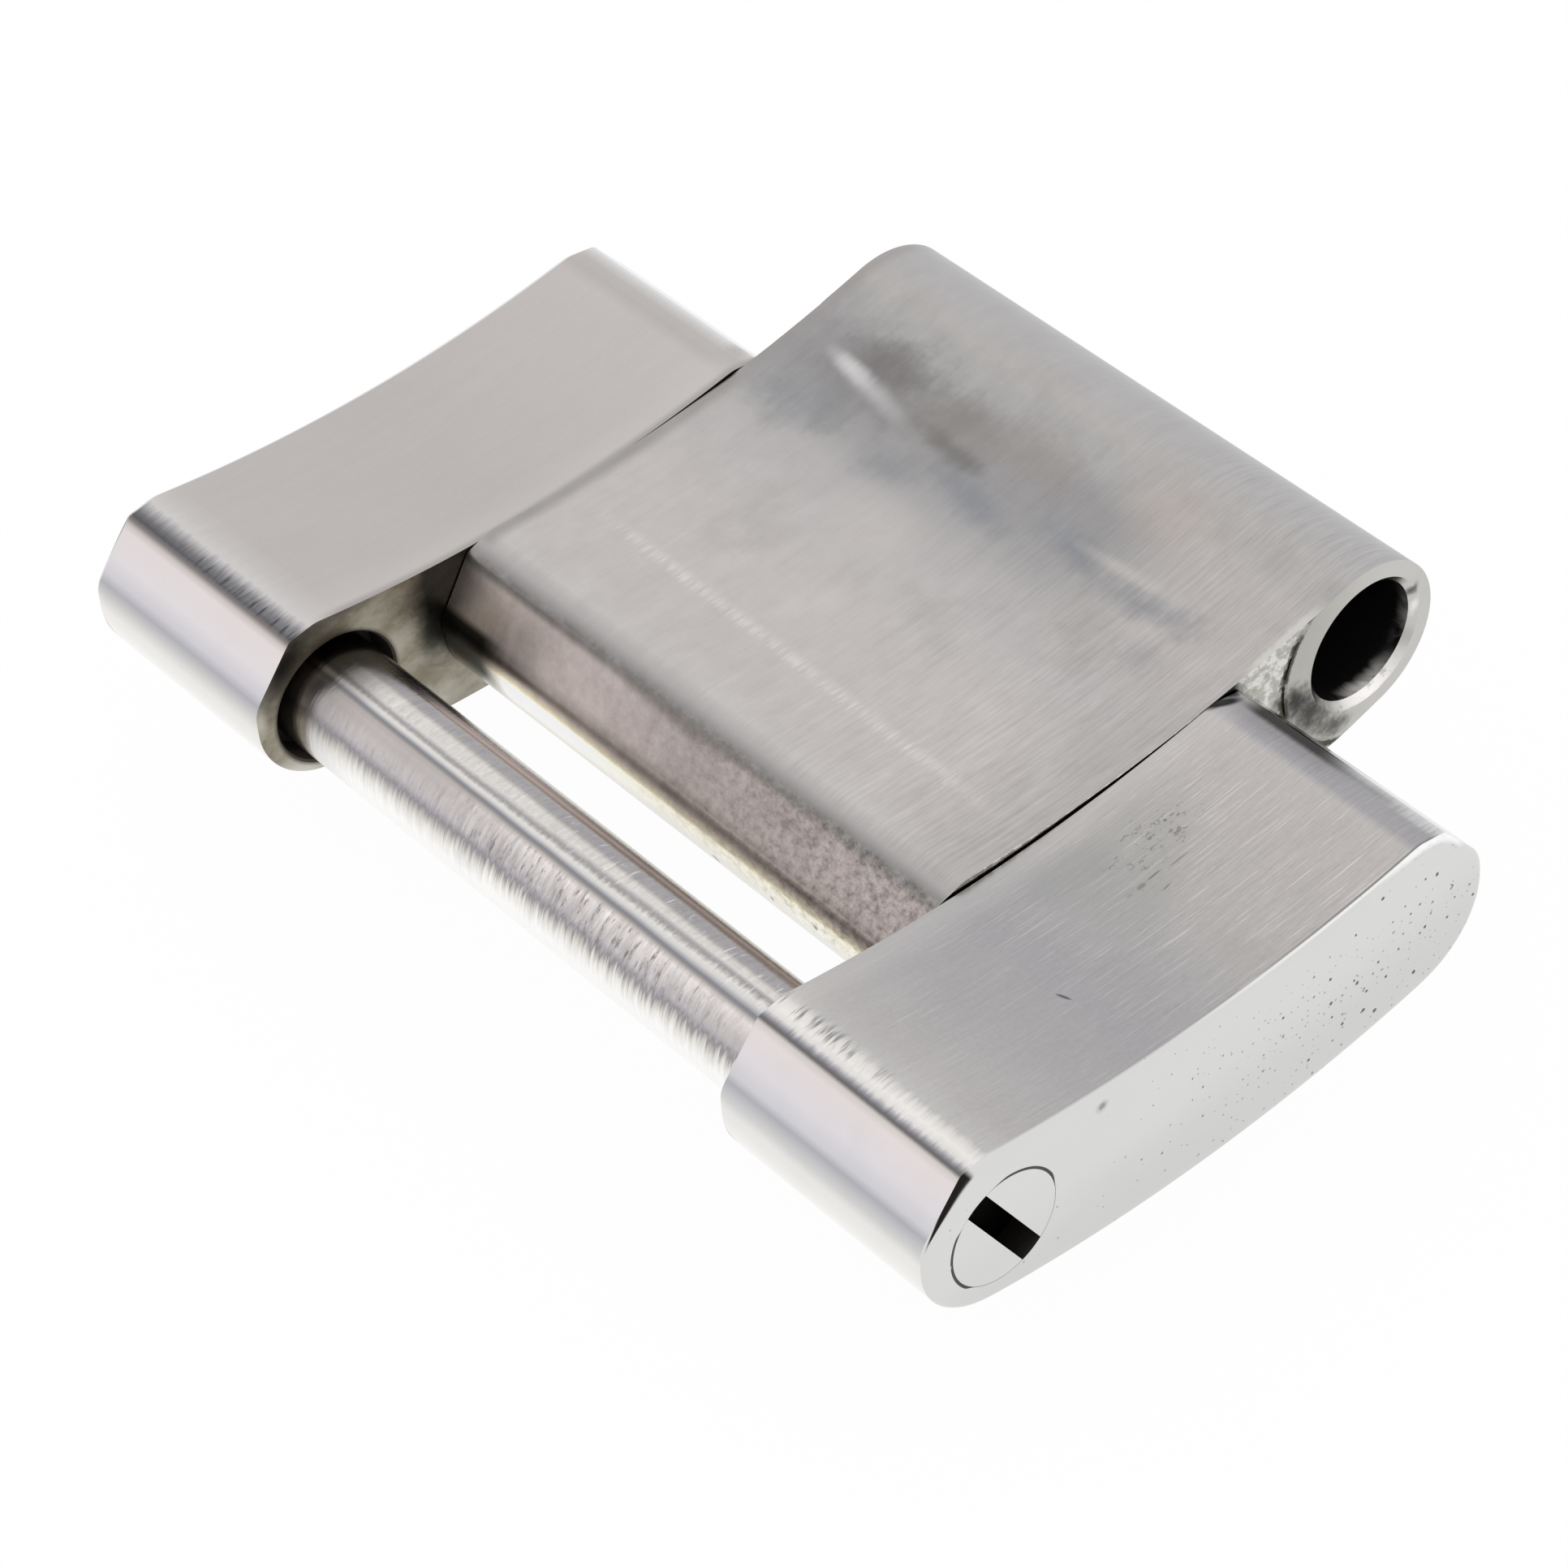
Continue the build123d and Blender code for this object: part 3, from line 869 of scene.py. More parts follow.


# Satin skin of the centre link: stained patches, a worn line and a tarnished near end, with painted
# reflections and shade in the bands at its near end
centreSatin = {
    "toe": {
        "belly": (-7.9, 186, 183, 181), "toe low": (-6.8, 240, 238, 234), "toe": (-6, 245, 243, 238),
        "toe top": (-5.66, 233, 229, 219),
    },
    "edge": {
        "gilt edge": (-5.43, 222, 217, 198), "gilt line": (-5.36, 178, 168, 142),
        "under edge": (-5.3, 160, 150, 132), "dark band": (-5.22, 146, 136, 130),
        "dark band top": (-5.13, 140, 130, 125),
        "corner": (-5.03, 152, 143, 139), "facet foot": (-4.93, 168, 158, 154),
        "facet": (-4.6, 162, 152, 149),
        "facet top": (-4.32, 157, 148, 145), "crease side": (-4.24, 140, 134, 131),
        "crease": (-4.18, 126, 123, 121),
        "crease lip": (-4.08, 152, 149, 148), "band": (-3.97, 174, 171, 170),
        "band end": (-3.76, 194, 190, 188),
    },
    "top": {
        "top near": (-3.3, 192, 187, 185), "top a": (-1.8, 193, 188, 186), "top b": (-0.6, 187, 183, 182),
        "top c": (0.1, 179, 176, 175), "top d": (0.6, 165, 163, 163), "top e": (1.2, 155, 153, 154),
        "top f": (1.8, 154, 152, 153), "top g": (2.3, 170, 168, 167), "top h": (2.8, 179, 176, 174),
        "crown": (3.4, 176, 174, 175), "ring": (4.2, 168, 167, 168), "ring far": (5.2, 186, 185, 184),
        "ring foot": (6.5, 186, 184, 182),
    },
    "clearEnd": (186, 181, 179),
    "wornLine": (211, 206, 204),
    "gapGrooveShade": (156, 152, 150),
    "shade": (168, 165, 163),
    "rust": (106, 97, 94),
    "nick": (196, 187, 181),
    "corner": (205, 198, 190),
    "rearLinkShade": (60, 58, 54),
    "frontEdge": (208, 207, 203),
    "stains": {
        "warm": (1.4, 2.9, 1.15, 1.6, 12, (140, 137, 136), 0.95),
        "warm low": (1.55, 1.4, 0.85, 1.1, 10, (143, 139, 136), 0.9),
        "dark heart": (1.75, 3, 0.6, 0.9, 20, (124, 121, 120), 0.8),
        "cool edge": (0.7, 3.4, 0.75, 1.1, 0, (148, 148, 151), 0.9),
        "cool low": (0.62, 1.6, 0.5, 0.9, 20, (148, 148, 151), 0.8),
        "cool streak": (0.85, 0.3, 0.42, 1.1, -12, (144, 145, 150), 0.95),
        "cool streak two": (1.12, -1.2, 0.36, 1, -6, (141, 143, 148), 0.95),
        "cool streak three": (1, -2.7, 0.4, 1.2, 8, (145, 146, 149), 0.9),
        "cool spot": (0.3, -3.2, 0.4, 0.5, 0, (158, 158, 159), 0.6),
        "brown": (1.9, 0.2, 0.7, 1.1, 0, (156, 151, 147), 0.7),
        "dull": (0.2, -2.4, 0.8, 0.7, 20, (164, 163, 159), 0.55),
        "dull two": (-0.9, -0.8, 0.9, 0.5, 60, (176, 173, 170), 0.6),
        "dull three": (-1.2, 2.2, 1, 0.7, 20, (180, 176, 173), 0.6),
        "pale": (-0.3, 1, 0.8, 1.1, 0, (196, 191, 189), 0.6),
    },
    "scuffs": {
        "dark streak": (1.27, 1.2, 1.15, 0.24, 86, (118, 116, 114), 0.7),
        "scuff": (1.36, 2.9, 1.25, 0.24, 80, (188, 186, 187), 0.85),
        "scuff head": (1.45, 3.3, 0.6, 0.2, 80, (210, 208, 208), 0.8),
        "light streak": (1.25, -2.2, 1.3, 0.17, 94, (190, 186, 182), 0.75),
        "pink": (2.3, -1.9, 0.8, 1.2, 0, (182, 173, 168), 0.7),
        "bright spot": (-1.8, 0.5, 0.7, 0.9, 0, (203, 199, 196), 0.35),
        "tarnish": (-4.3, 0.3, 0.16, 1.4, 0, (112, 106, 103), 0.6),
        "tarnish two": (-4.5, -1.9, 0.2, 0.8, 0, (128, 118, 115), 0.5),
    },
    "toeSpecks": {
        "speck": (-5.84, -0.8, 0.09, 0.05, 60, (110, 108, 96), 0.9),
        "speck two": (-5.72, -1.9, 0.05, 0.04, 0, (126, 124, 112), 0.8),
        "speck three": (-5.6, -2.75, 0.06, 0.045, 0, (120, 118, 106), 0.8),
    },
}


def satinCentre(name, look):
    paint = Paint(name, look)
    s, y = paint.s, paint.y
    ragged = noise(s * 1.5, y * 1.9, 5, 0.62, 2)
    streaked = noise(s * 0.7, y * 7, 4, 0.6, 5)
    freckles = noise(s * 10, y * 8, 5, 0.72, 9)
    drift = s + streaked * 0.015 + ragged * rise(s, 0, 0.8) * 0.35
    drift = drift + (ragged * 0.09 + freckles * 0.06) * line(s, -4.2, 0.22)
    # the toe and edge bands are painted reflections and shade: a pale toe, a golden line and a dark band
    # under the facet, a dark crease
    paint.ramps(drift, "toe", "edge", "top")
    onTop = rise(s, -4.05, -3.85)
    stained = band(s, -0.4, 0.4, 2.7, 2.1)
    clear = rise(y + ragged * 0.4, -1.2, -2.9) * stained
    paint.lay(clear * 0.9, "clearEnd")
    mottle = noise(s * 3.6, y * 3.6, 4, 0.65, 17)
    paint.marks(s, y, "stains", ragged * 0.55 + streaked * 0.10 + mottle * 0.15, 1)
    paint.marks(s, y, "scuffs", ragged * 0.35 + streaked * 0.20, 1)
    paint.marks(s, y, "toeSpecks", freckles * 0.4)
    # the worn line is made of short bright hairs and slants a little across the width
    hairs = rise(noise(s * 2.2, y * 19, 3, 0.65, 41), -0.25, 0.25)
    worn = line(s - y * 0.022 + ragged * 0.05 + hairs * 0.05, -2.55, 0.17)
    worn = worn * band(y, -4.6, -3, 4.4, 2.5)
    paint.lay(worn * (hairs * 0.85 + 0.1), "wornLine")
    # painted shade along the rear edge beside the gap
    paint.lay(rise(y, 4.18, 4.40) * onTop * (rise(s, 1, -0.5) * 0.25 + 0.6), "gapGrooveShade")
    paint.lay(rise(y, -2.6, -4.4) * rise(s, 0.4, -0.6) * onTop * 0.55, "shade")
    fine = noise(s * 1.1, y * 20, 5, 0.72, 3)
    near = rise(y, 3, -4.2)
    # the near end is tarnished and freckled, more so towards the front
    onFacet = band(s, -4.1, -4.2, -5.9, -5.4)
    light = fine * (near * near * 0.30 + 0.07) * onTop + streaked * onTop * 0.06 + ragged * onTop * 0.12 + 1
    light = light + mottle * onTop * 0.05 + mottle * onFacet * 0.4
    light = light + freckles * onFacet * (near * near * 1.5 + 0.35) + ragged * onFacet * 0.3
    light = light + near * onFacet * 0.12
    # painted light: the facet below its crease is lightened towards the rear
    light = light + rise(s, -4.24, -4.38) * onFacet * (rise(y, -0.5, 3.2) * 0.8 + 0.22)
    paint.brighten(light)
    rust = rise(freckles + ragged * 0.3, 0.2, 0.45) * onFacet * near * near
    paint.lay(rust * 0.6, "rust")
    # pale scratches where the facet meets the toe, at the front
    rubbed = line(s, -4.95, 0.16) * rise(y, -1.6, -3.4)
    nicks = rise(noise(s * 4, y * 15, 3, 0.65, 61), 0.05, 0.3)
    paint.lay(rubbed * nicks * 0.8, "nick")
    # a painted highlight along the corner between the facet and the toe
    corner = line(s + freckles * 0.01, -5.06, 0.035) * rise(y, 2.5, -2)
    paint.lay(corner * (freckles * 0.5 + 0.45), "corner")
    # painted shade on the toe where the rear link hides it
    rearLinkShade = rise(y + ragged * 0.15, 3.15, 3.75) * band(s, -4.9, -5.05, -6.2, -5.6)
    paint.lay(rearLinkShade, "rearLinkShade")
    # the front edge by the bored ring is rubbed and pale
    frontEdge = rise(y + ragged * 0.07 + freckles * 0.05, -4.35, -4.42) * rise(s, 0.9, 1.3)
    paint.lay(frontEdge * rise(s, 2.5, 2) * 0.85, "frontEdge")
    roughness = fine * 0.07 + ragged * 0.05 + onFacet * 0.08 + 0.30
    return paint.finish(roughness, fine * onTop + freckles * onFacet, 0.0012)


# Polished side faces of the outer links, pitted on the front one
sides = {
    "steel": (217, 217, 215),
    "steelShadedLow": (207, 207, 205),
    "bevel": (246, 246, 247),
    "headSeam": (70, 67, 64),
    "pit": (118, 117, 112),
    "deepPit": (78, 76, 70),
    "crescentShade": (36, 34, 33),
    "shadedEdge": (184, 183, 183),
    "scuff": (250, 250, 251),
    "scuffFoot": (168, 168, 166),
    "pits": {
        "dot halo": (1.56, 0.87, 0.13, 0.12, 0, (186, 187, 182), 0.8),
        "dot": (1.56, 0.87, 0.07, 0.07, 0, (136, 137, 132), 0.75),
        "low pit": (3.1, -1.16, 0.04, 0.02, 10, (130, 130, 131), 0.7),
        "low pit two": (3.35, -1.1, 0.025, 0.02, 0, (140, 140, 141), 0.7),
    },
    # the pits that show best: x, z, radius
    "spots": [
        (5.29, 0.24, 0.026), (5.31, -0.19, 0.036), (5.33, -0.44, 0.026), (5.51, -0.69, 0.030),
        (5.75, -0.16, 0.040), (5.70, -0.08, 0.022), (5.92, -0.42, 0.032), (5.88, -0.35, 0.022),
        (5.87, -0.72, 0.034), (6.07, -0.87, 0.038), (6.11, -0.06, 0.032), (6.25, -0.41, 0.028),
        (6.74, -0.69, 0.036), (6.46, -0.09, 0.024), (6.83, -0.08, 0.030), (6.91, -0.03, 0.028),
        (6.65, 0.38, 0.024), (6.55, 0.58, 0.022), (6.81, 0.43, 0.024), (6.16, 0.99, 0.034),
        (7.09, 0.74, 0.038), (6.89, 0.80, 0.024), (7.37, 0.35, 0.022), (7.42, 0.12, 0.022),
        (7.30, -0.14, 0.030), (7.75, -0.07, 0.026), (4.50, 0.16, 0.024), (4.79, -0.40, 0.022),
        (4.94, -0.90, 0.034), (5.71, 0.69, 0.022),
    ],
}


def polishedSide(name, look, worn):
    paint = Paint(name, look, "steel")
    x, z, s = paint.x, paint.z, paint.s
    over = abs(paint.v)
    cloud = noise(x * 0.5, z * 0.8, 3, 0.6, 4)
    hair = noise(x * 0.9 + z * 0.5, z * 24, 4, 0.7, 6)
    crumb = noise(x * 9, z * 9, 3, 0.7, 14)
    # painted shade: the face is darker towards the bottom and the far end
    paint.lay(rise(z + cloud * 0.3 - x * 0.08, 0.2, -1.3), "steelShadedLow")
    paint.brighten(hair * 0.014 + cloud * 0.02 + 1)
    height = hair * 0.15
    if worn:
        along = rise(x, 1.4, 4.4) * rise(z + x * 0.03, 0.95, 0.45)
        cluster = paint.calc("MAXIMUM", patch(x, z, (5.2, -0.25), (1.3, 0.55), 5, 1),
                             patch(x, z, (6.9, 0.25), (0.9, 0.6), 30, 1) * 0.6)
        large = pits(x * 4 + crumb * 0.1, z * 4, cluster * 0.1 + along * 0.02, 0.18, 1)
        small = pits(x * 6 + crumb * 0.1, z * 6, cluster * 0.35 + along * 0.12 + 0.008, 0.18, 5)
        tiny = pits(x * 11, z * 11, along * 0.18 + cluster * 0.15 + 0.03, 0.26, 9)
        paint.lay(tiny * 0.6, "pit")
        paint.lay(small * 0.85, "pit")
        paint.lay(large * 0.85, "deepPit")
        paint.marks(x, z, "pits", crumb * 0.35)
        deepest = spots(x, z, look["spots"], crumb * 0.9)
        paint.lay(deepest * 0.92, "deepPit")
        height = height - large - small * 0.7 - deepest
    # the edge is painted grey as shade at the near end, carries a thin painted highlight from the middle on,
    # and is scuffed at the far end
    onEdge = band(s, -3.7, -3.3, 4.6, 4.1)
    soft = rise(over, 8, 7.955) * rise(s, 1, -1.5)
    paint.lay(soft * onEdge * 0.8, "shadedEdge")
    bright = line(over + crumb * 0.01, 7.985, 0.035) * rise(s, -1, 2) * onEdge
    paint.lay(bright * 0.8, "bevel")
    if worn:
        corner = band(s, 2.6, 3.5, 4.5, 4.2)
        scuffs = line(over + crumb * 0.03, 8, 0.10) * corner * rise(crumb, -0.5, 0)
        paint.lay(scuffs, "scuff")
        below = line(over + crumb * 0.02, 8.09, 0.035) * corner * rise(crumb, -0.1, 0.2)
        paint.lay(below * 0.5, "scuffFoot")
    # a painted dark crescent of shade on the bevel at the near end
    crescentShade = band(s, -3.78, -3.90, -5, -4.75)
    narrow = rise(s, -4.95, -3.95) * 0.13 + 0.01
    paint.lay(crescentShade * rise(abs(over - 8), narrow, narrow * 0.45), "crescentShade")
    if worn:
        # the seam round the screw's head shows in two arcs only
        away = length(x, z)
        turn = paint.calc("ARCTAN2", z, x)
        arcs = paint.calc("MAXIMUM", line(turn, 0.95, 1), line(turn, 2.95, 0.55))
        arcs = paint.calc("MAXIMUM", arcs, line(turn, -2.75, 0.6))
        wide = rise(arcs, 0, 0.5) * 0.036 + 0.8035
        paint.lay(rise(away - wide, 0.006, -0.004), "headSeam")
    return paint.finish(hair * 0.03 + cloud * 0.03 + 0.11, height, 0.004)


# Faces that are hidden when worn: cheeks, the centre link's sides, hole and bore walls
hidden = {
    "cheek": (172, 167, 153),
    "grime": (136, 129, 111),
    "holeRimShade": (98, 90, 76),
    "grimeAndShade": (38, 37, 33),
    "cheekMarks": {
        # the dark corner at the upper left is painted shade
        "dark corner": (-0.72, 1, 1.05, 0.5, 45, (44, 43, 39), 1),
        "grey top": (0.2, 1.32, 0.9, 0.24, 0, (100, 97, 93), 0.85),
        "light": (0.95, 0.3, 0.3, 0.35, 0, (182, 178, 166), 0.7),
        "light left": (-1.2, 0.3, 0.16, 0.35, 0, (196, 190, 178), 0.9),
        "low left": (-0.8, -0.9, 0.9, 0.45, -25, (222, 219, 211), 0.95),
        "low": (0.9, -1.1, 1.3, 0.5, 0, (226, 223, 215), 0.95),
    },
    "side": (196, 194, 190),
    "sideNear": (176, 175, 168),
    "crumbs": (230, 229, 225),
    "dirt": (130, 128, 120),
    "lip": (250, 247, 245),
    "sideMarks": {
        # dark patches low on the ring's side, towards the front link's far end
        "smudge": (8.5, 0.12, 0.95, 0.42, -50, (64, 63, 60), 1),
        "smudge two": (8.95, -0.42, 0.45, 0.24, -20, (78, 77, 74), 0.9),
        "dark foot": (8.22, 0.5, 0.4, 0.32, -60, (44, 43, 40), 0.95),
        "nick": (10.33, 0.98, 0.2, 0.09, 70, (64, 64, 62), 0.85),
        "glint": (10.39, 0.66, 0.26, 0.06, 80, (238, 236, 233), 0.8),
        "dirt": (9, -0.05, 0.3, 0.16, -35, (110, 108, 103), 0.6),
    },
    "seam": (62, 60, 48),
    "wedge": (40, 39, 38),
    "mouth": (250, 246, 243),
    "bore": (12, 12, 12),
    "holeWall": (84, 76, 68),
}


def grimyCheek(name, look):
    paint = Paint(name, look, "cheek")
    x, z = paint.x, paint.z
    cloud = noise(x * 1.4, z * 1.4, 4, 0.6, 3)
    crust = noise(x * 9, z * 9, 4, 0.65, 8)
    swirl = noise(x * 1.1 + cloud * 0.8, z * 2.6 + cloud * 0.8, 3, 0.55, 12)
    paint.lay(rise(swirl + crust * 0.15, -0.4, 0.4), "grime")
    paint.marks(x, z, "cheekMarks", cloud * 0.4, 1)
    away = length(x, z)
    # painted shade round the hole's rim
    paint.lay(rise(away, 1.03, 0.965) * 0.8, "holeRimShade")
    # dark where the centre link's near end stands over the cheek: painted shade, with grime
    deep = rise(x + cloud * 0.25, 1.15, 1.6) * rise(z + crust * 0.08 + cloud * 0.2, -0.75, 0.15)
    paint.lay(deep * 0.92, "grimeAndShade")
    paint.brighten(crust * 0.07 + 1)
    return paint.finish(crust * 0.10 + 0.40, crust, 0.004)


# the middle of the centre link's bore
def boreMiddle():
    x, z = swing(centre["holeSpacing"], centre["boreLift"], centre["tilt"])
    return centre["pinX"] + x, z


def centreSide(name, look):
    paint = Paint(name, look, "side")
    x, z = paint.x, paint.z
    boreX, boreZ = boreMiddle()
    dx, dz = x - boreX, z - boreZ
    away = length(dx, dz)
    crust = noise(x * 6, z * 6, 4, 0.65, 8)
    cloud = noise(x * 1.6, z * 1.6, 3, 0.6, 2)
    paint.lay(rise(dx, 0.4, -1.1), "sideNear")
    paint.brighten(cloud * 0.06 + crust * 0.05 + 1)
    # pale crumbs and dark dirt on the low side face beside the ring
    beside = rise(away, 1.40, 1.52) * rise(z, 0.3, 0.8)
    paint.lay(rise(crust + cloud * 0.4, -0.05, 0.2) * beside * 0.75, "crumbs")
    paint.lay(rise(crust, -0.16, -0.3) * beside * 0.3, "dirt")
    paint.marks(x, z, "sideMarks", crust * 0.5 + cloud * 0.3, 1)
    wander = away + crust * 0.06 + cloud * 0.02
    seam = rise(abs(wander - centre["landRadius"] - 0.01), 0.085, 0.03) * rise(dx, -0.2, -0.5)
    broken = rise(noise(x * 3.5, z * 3.5, 3, 0.6, 18), -0.25, 0.05)
    paint.lay(seam * (broken * 0.8 + 0.2), "seam")
    # the bore's lip shines at the bottom
    turn = paint.calc("ARCTAN2", dz, dx)
    lip = rise(away + crust * 0.03, 0.99, 0.955) * line(turn, -1.45, 0.95)
    paint.lay(lip * rise(crust + cloud * 0.5, -0.35, 0), "lip")
    # a line of shadow and grime just above the front link's far end
    height = paint.calc("MINIMUM", 1.39 - (x - 6.815) * 0.167, 1.316 - (x - 7.245) * 1.222)
    above = z - height + crust * 0.03
    wedge = band(above, 0.18, 0.12, -0.45, -0.2)
    wedge = wedge * band(x, 6.5, 6.7, 7.45, 7.15)
    paint.lay(wedge, "wedge")
    return paint.finish(crust * 0.05 + 0.2, crust * 0.4, 0.004)


# the bore's wall is painted black as shade, with painted light near its mouth
def boreWall(name, look):
    paint = Paint(name, look, "bore", 0)
    boreX, boreZ = boreMiddle()
    turn = paint.calc("ARCTAN2", paint.z - boreZ, paint.x - boreX)
    depth = 4.47 - abs(paint.y)
    crust = noise(paint.x * 5, paint.z * 5, 4, 0.65, 4)
    patches = noise(paint.x * 2.6 + depth * 2, paint.z * 2.6, 3, 0.6, 9)
    # light reaches the mouth at the bottom and, weaker, on the far side
    bottom = line(turn, -1.4, 0.75) * rise(patches + crust * 0.3, -0.2, 0.25)
    right = line(turn, -0.15, 0.85) * rise(patches, 0.35, -0.2) * 0.3
    lit = paint.calc("MAXIMUM", bottom, right) * rise(depth + crust * 0.12, 0.30, 0.08)
    paint.lay(lit, "mouth")
    return paint.finish(crust * 0.1 + 0.4, crust, 0.004)


def darkWall(name, look):
    paint = Paint(name, look, "holeWall", 0)
    turned = noise(paint.x * 2 + paint.z * 1.3, paint.y * 16, 3, 0.6, 2)
    # painted shade: the wall turns black further in from the cheek
    paint.lay(rise(abs(paint.y), 4.6, 5) * 0.8, "bore")
    paint.brighten(turned * 0.4 + 1)
    return paint.finish(turned * 0.1 + 0.5, turned, 0.004)


# The screw and the pin: the shank is banded by its own reflections and turned marks, by angle in
# degrees from +X to +Z
screwLook = {
    "edge": {
        "under": (-30, 190, 187, 184), "side": (36, 214, 213, 212), "edge blue": (46, 216, 218, 226),
        "edge line": (51, 178, 170, 172), "brown": (56, 213, 203, 195), "brown two": (61, 168, 159, 152),
        "grey": (65, 180, 175, 172), "grey two": (69, 164, 160, 161), "blue grey": (74, 160, 158, 162),
        "grey end": (79, 167, 164, 162), "cream": (84, 212, 208, 204),
    },
    "middle": {
        "cream end": (90, 217, 213, 210), "dip": (95, 163, 161, 163), "dip end": (98, 172, 168, 165),
        "bright": (102.5, 224, 220, 217), "bright end": (106, 214, 212, 211),
        "dark line": (111.2, 134, 134, 141),
        "line foot": (113.5, 150, 147, 146), "line end": (116.5, 199, 192, 188),
        "pink": (120, 226, 219, 217),
        "pink two": (127, 213, 207, 206),
    },
    "low": {
        "pink three": (135, 198, 192, 191), "mauve": (143, 190, 185, 187),
        "grey line": (150.5, 150, 147, 152), "grey line end": (154, 168, 164, 164),
        "pale": (158.5, 200, 196, 191),
        "white": (165, 232, 229, 224), "white two": (171, 244, 242, 238),
        "white three": (180, 254, 253, 251),
        "low": (240, 252, 251, 249), "low end": (262, 234, 232, 230), "below": (300, 190, 187, 184),
    },
    "nick": (112, 107, 107),
    "hair": (236, 235, 234),
    "rear": (176, 169, 167),
    "shade": (58, 54, 53),
    "shadeLow": (110, 106, 104),
    "head": (219, 219, 217),
    "headShadedLow": (212, 212, 210),
    "slot": (7, 7, 7),
    "slotDust": (24, 22, 20),
    "pin": (186, 184, 180),
    "pinPale": (202, 200, 197),
}


def turnedSteel(name, look):
    paint = Paint(name, look)
    turn, y = paint.s, paint.y
    rough = noise(turn * 0.02, y * 13, 4, 0.7, 3)
    crumb = noise(turn * 0.16, y * 14, 3, 0.7, 7)
    slow = noise(turn * 0.01, y * 0.9, 2, 0.5, 5)
    # the edge line and the dip wander round the shank towards the rear
    wander = rise(turn, 72, 56) * (y + 2.2) * 1.4
    wander = wander + line(turn, 97, 15) * (paint.calc("MINIMUM", y, 1.8) + 2) * 1.7
    worn = band(turn, 144, 152, 192, 168)
    fringe = (noise(turn * 0.012, y * 17, 4, 0.65, 33) * 22 + rough * 8) * worn
    fringe = fringe * (rise(y, 2.2, -0.5) * 0.55 + 0.45)
    jagged = (crumb * 3.5 + rough * 4) * line(turn, 97, 13)
    paint.ramps(turn - wander + slow * 1.2 + fringe + jagged, "edge", "middle", "low")
    # scratches round the shank: strongest on the pink band and towards the front
    busy = band(y, -4.2, -2.4, 2.4, 0.2) * 0.75 + 0.25
    pink = band(turn, 114, 121, 156, 140)
    scored = band(turn, 64, 70, 108, 100)
    light = rough * (pink * busy * 0.75 + scored * 0.25 + worn * 0.2 + 0.08)
    light = light + crumb * (scored * 0.18 + pink * 0.12) + 1
    paint.brighten(light)
    nicks = rise(noise(turn * 0.05 + y * 0.6, y * 14, 4, 0.7, 25), 0.04, 0.3) * pink * busy
    paint.lay(nicks * 0.75, "nick")
    hairs = rise(noise(turn * 0.035 - y * 0.5, y * 17, 3, 0.65, 15), 0.16, 0.36)
    hairs = hairs * scored * (rise(y, 1.5, -2) * 0.7 + 0.2)
    paint.lay(hairs * 0.7, "hair")
    # painted shade: the pink band darkens towards the rear
    shadedToRear = rise(y, -0.4, 2.2) * band(turn, 112, 118, 140, 124)
    paint.lay(shadedToRear * 0.75, "rear")
    shade = rise(y, 3.1, 4.2)
    paint.lay(shade * rise(turn, 118, 98) * 0.9, "shade")
    paint.lay(shade * rise(turn, 98, 118) * 0.4, "shadeLow")
    return paint.finish(rough * 0.06 + 0.2, rough, 0.002)


def headSteel(name, look):
    paint = Paint(name, look, "headShadedLow")
    arcs = noise(paint.x * 1.5 + paint.z * 7, paint.z * 1.5 - paint.x * 7, 3, 0.6, 4)
    # painted shade: the head is darker towards the bottom
    paint.lay(rise(paint.z, -0.7, 0.6), "head")
    paint.brighten(arcs * 0.02 + 1)
    return paint.finish(arcs * 0.04 + 0.14, arcs, 0.002)


# the slot's inside is painted near black as shade, with dust
def slotDark(name, look):
    paint = Paint(name, look, "slot")
    crust = noise(paint.x * 9, paint.z * 9, 3, 0.6, 4)
    paint.lay(rise(crust, -0.6, 0.8), "slotDust")
    return paint.finish(crust * 0.1 + 0.6, crust, 0.006)


# the pin's ends are turned too, but they are deep in their holes
def pinSteel(name, look):
    paint = Paint(name, look, "pin")
    rings = noise(paint.x * 0.7 + paint.z * 0.4, paint.y * 22, 3, 0.65, 4)
    cloud = noise(paint.x * 1.1, paint.y * 0.7, 2, 0.5, 2)
    paint.lay(rise(cloud, -0.5, 0.5), "pinPale")
    paint.brighten(rings * 0.08 + 1)
    return paint.finish(rings * 0.05 + 0.24, rings, 0.002)


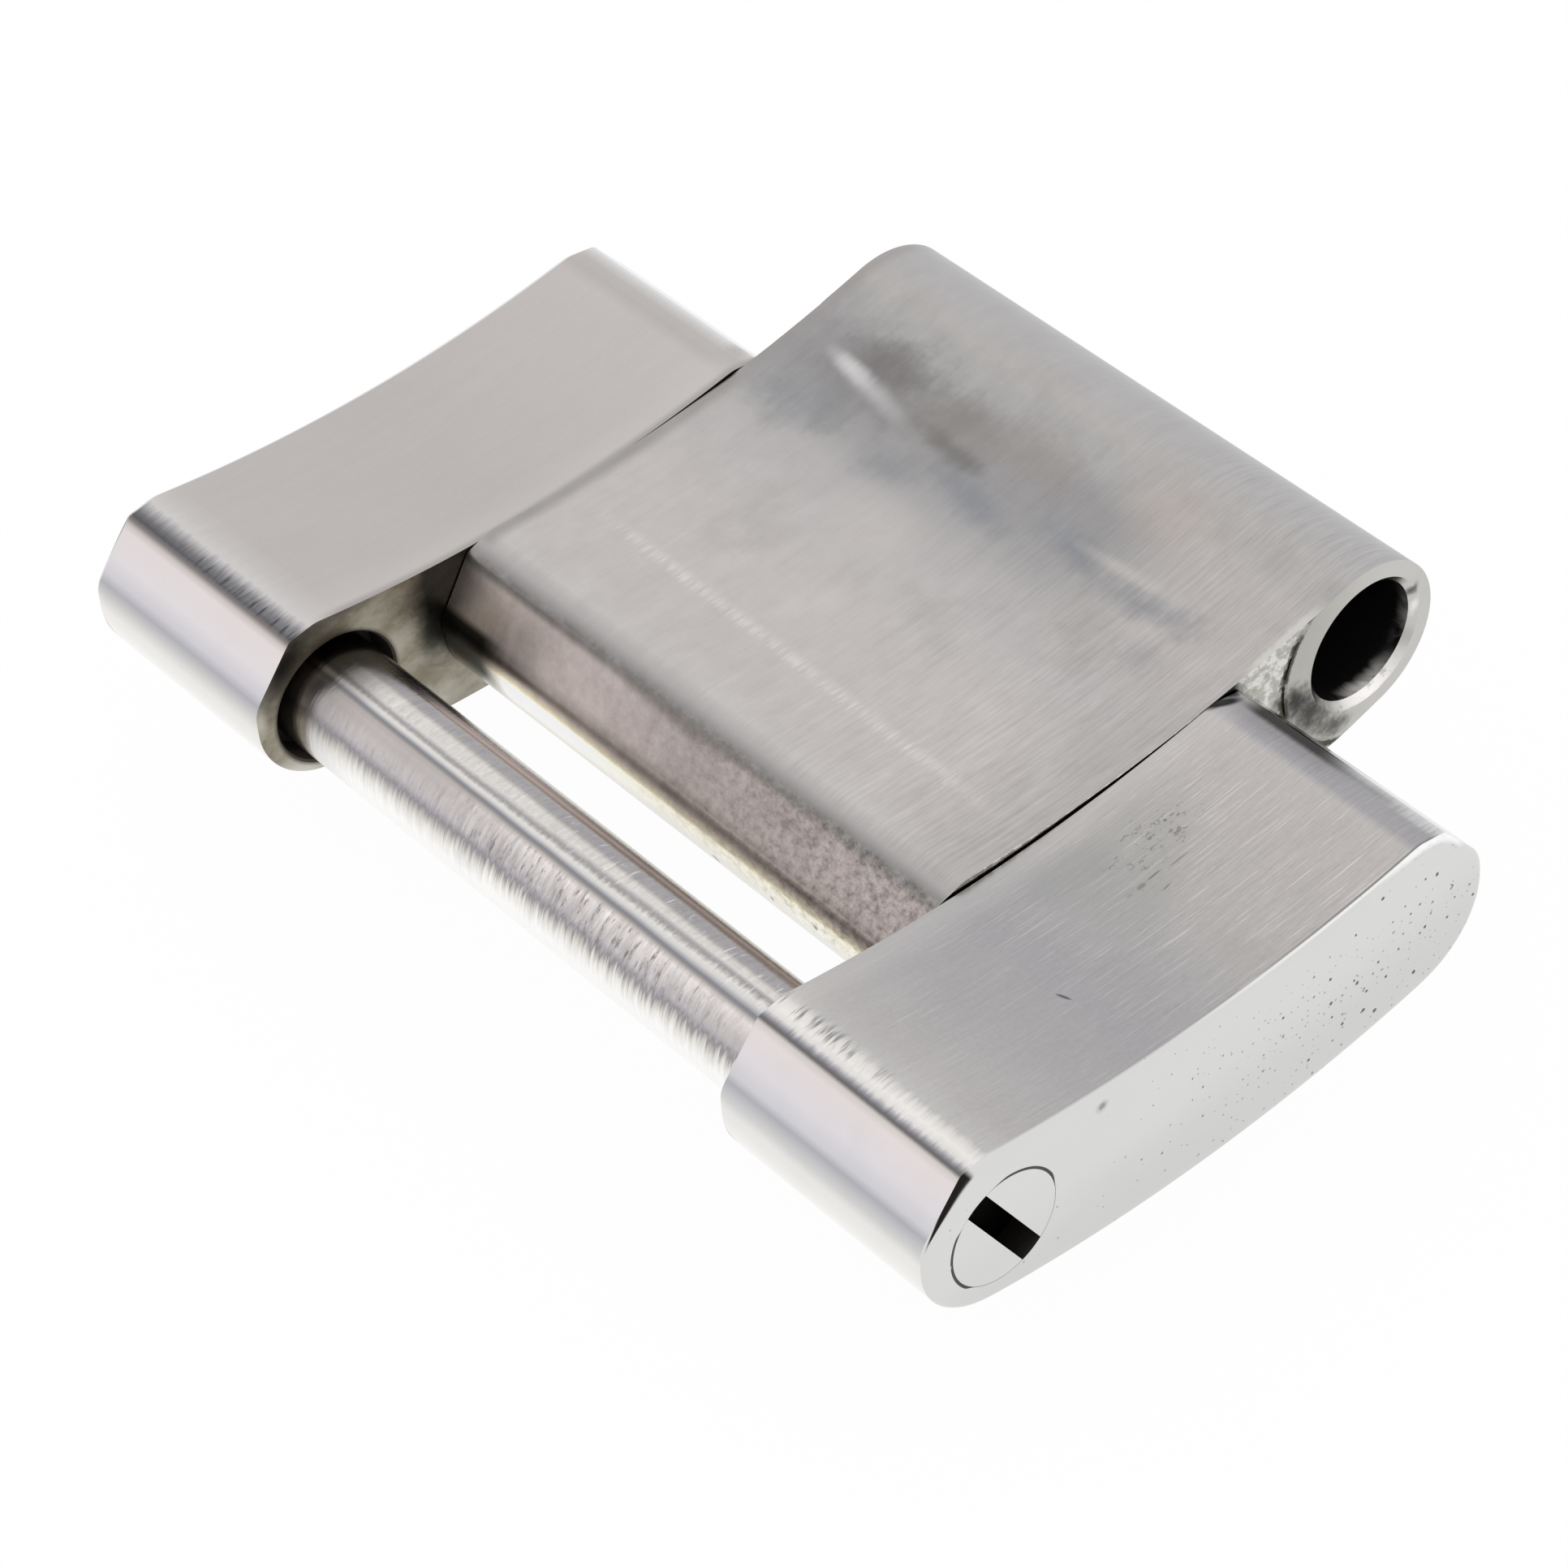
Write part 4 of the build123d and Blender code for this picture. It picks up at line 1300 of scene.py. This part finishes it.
wall = darkWall("holeWallSteel", hidden)
grimy = grimyCheek("grimyCheek", hidden)
finishes = {
    frontSkin: (satinOuter("frontSatinSteel", frontSatin), polishedSide("frontSideSteel", sides, True),
                grimy, wall),
    rearSkin: (satinOuter("rearSatinSteel", rearSatin), polishedSide("rearSideSteel", sides, False),
               grimy, wall),
    centreSkin: (satinCentre("centreSatinSteel", centreSatin), centreSide("centreSideSteel", hidden),
                 grimy, boreWall("boreSteel", hidden)),
    screwSkin: (turnedSteel("turnedShankSteel", screwLook), headSteel("screwHeadSteel", screwLook),
                slotDark("slotDark", screwLook)),
}
for piece, materials in finishes.items():
    for material in materials:
        piece.data.materials.append(material)
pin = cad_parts["hinge_pin"]
pin.data.materials.clear()
pin.data.materials.append(pinSteel("pinSteel", screwLook))
print("materials made")

# Studio: white floor and an even white surround
studio = {
    "floorHalf": 300,
    "floorDrop": 1.5,                   # leaves room below for the centre link at the end of its swing
    "floorWhite": 0.97,                 # how much of the paper that the camera sees is plain white
    "paper": (0.95, 0.95, 0.95, 1),
    "surround": (1, 1, 1, 1),
}


def addFloor():
    half, z = studio["floorHalf"] * mm, cadBox[0].z - studio["floorDrop"] * mm
    mesh = bpy.data.meshes.new("floor")
    corners = [(-half, -half, z), (half, -half, z), (half, half, z), (-half, half, z)]
    mesh.from_pydata(corners, [], [(0, 1, 2, 3)])
    floor = bpy.data.objects.new("floor", mesh)
    bpy.context.scene.collection.objects.link(floor)
    material = bpy.data.materials.new("floorPaper")
    material.use_nodes = True
    nodes, links = material.node_tree.nodes, material.node_tree.links
    nodes.clear()
    kinds = {"path": "LightPath", "either": "Math", "share": "Math", "paper": "BsdfDiffuse",
             "glow": "Emission", "mix": "MixShader", "out": "OutputMaterial"}
    made = {name: nodes.new("ShaderNode" + kind) for name, kind in kinds.items()}
    made["either"].operation, made["share"].operation = "MAXIMUM", "MULTIPLY"
    made["share"].inputs[1].default_value = studio["floorWhite"]
    made["paper"].inputs["Color"].default_value = studio["paper"]
    for source, output, target, place in (
            ("path", "Is Camera Ray", "either", 0), ("path", "Is Glossy Ray", "either", 1),
            ("either", 0, "share", 0), ("share", 0, "mix", 0), ("paper", 0, "mix", 1), ("glow", 0, "mix", 2),
            ("mix", 0, "out", 0)):
        links.new(made[source].outputs[output], made[target].inputs[place])
    mesh.materials.append(material)


def addWorld():
    world = bpy.data.worlds.new("surround")
    bpy.context.scene.world = world
    world.use_nodes = True
    background = world.node_tree.nodes["Background"]
    background.inputs["Color"].default_value = studio["surround"]
    background.inputs["Strength"].default_value = 1.0


addFloor()
addWorld()
bpy.context.scene.view_settings.view_transform = "Standard"
print("studio set")
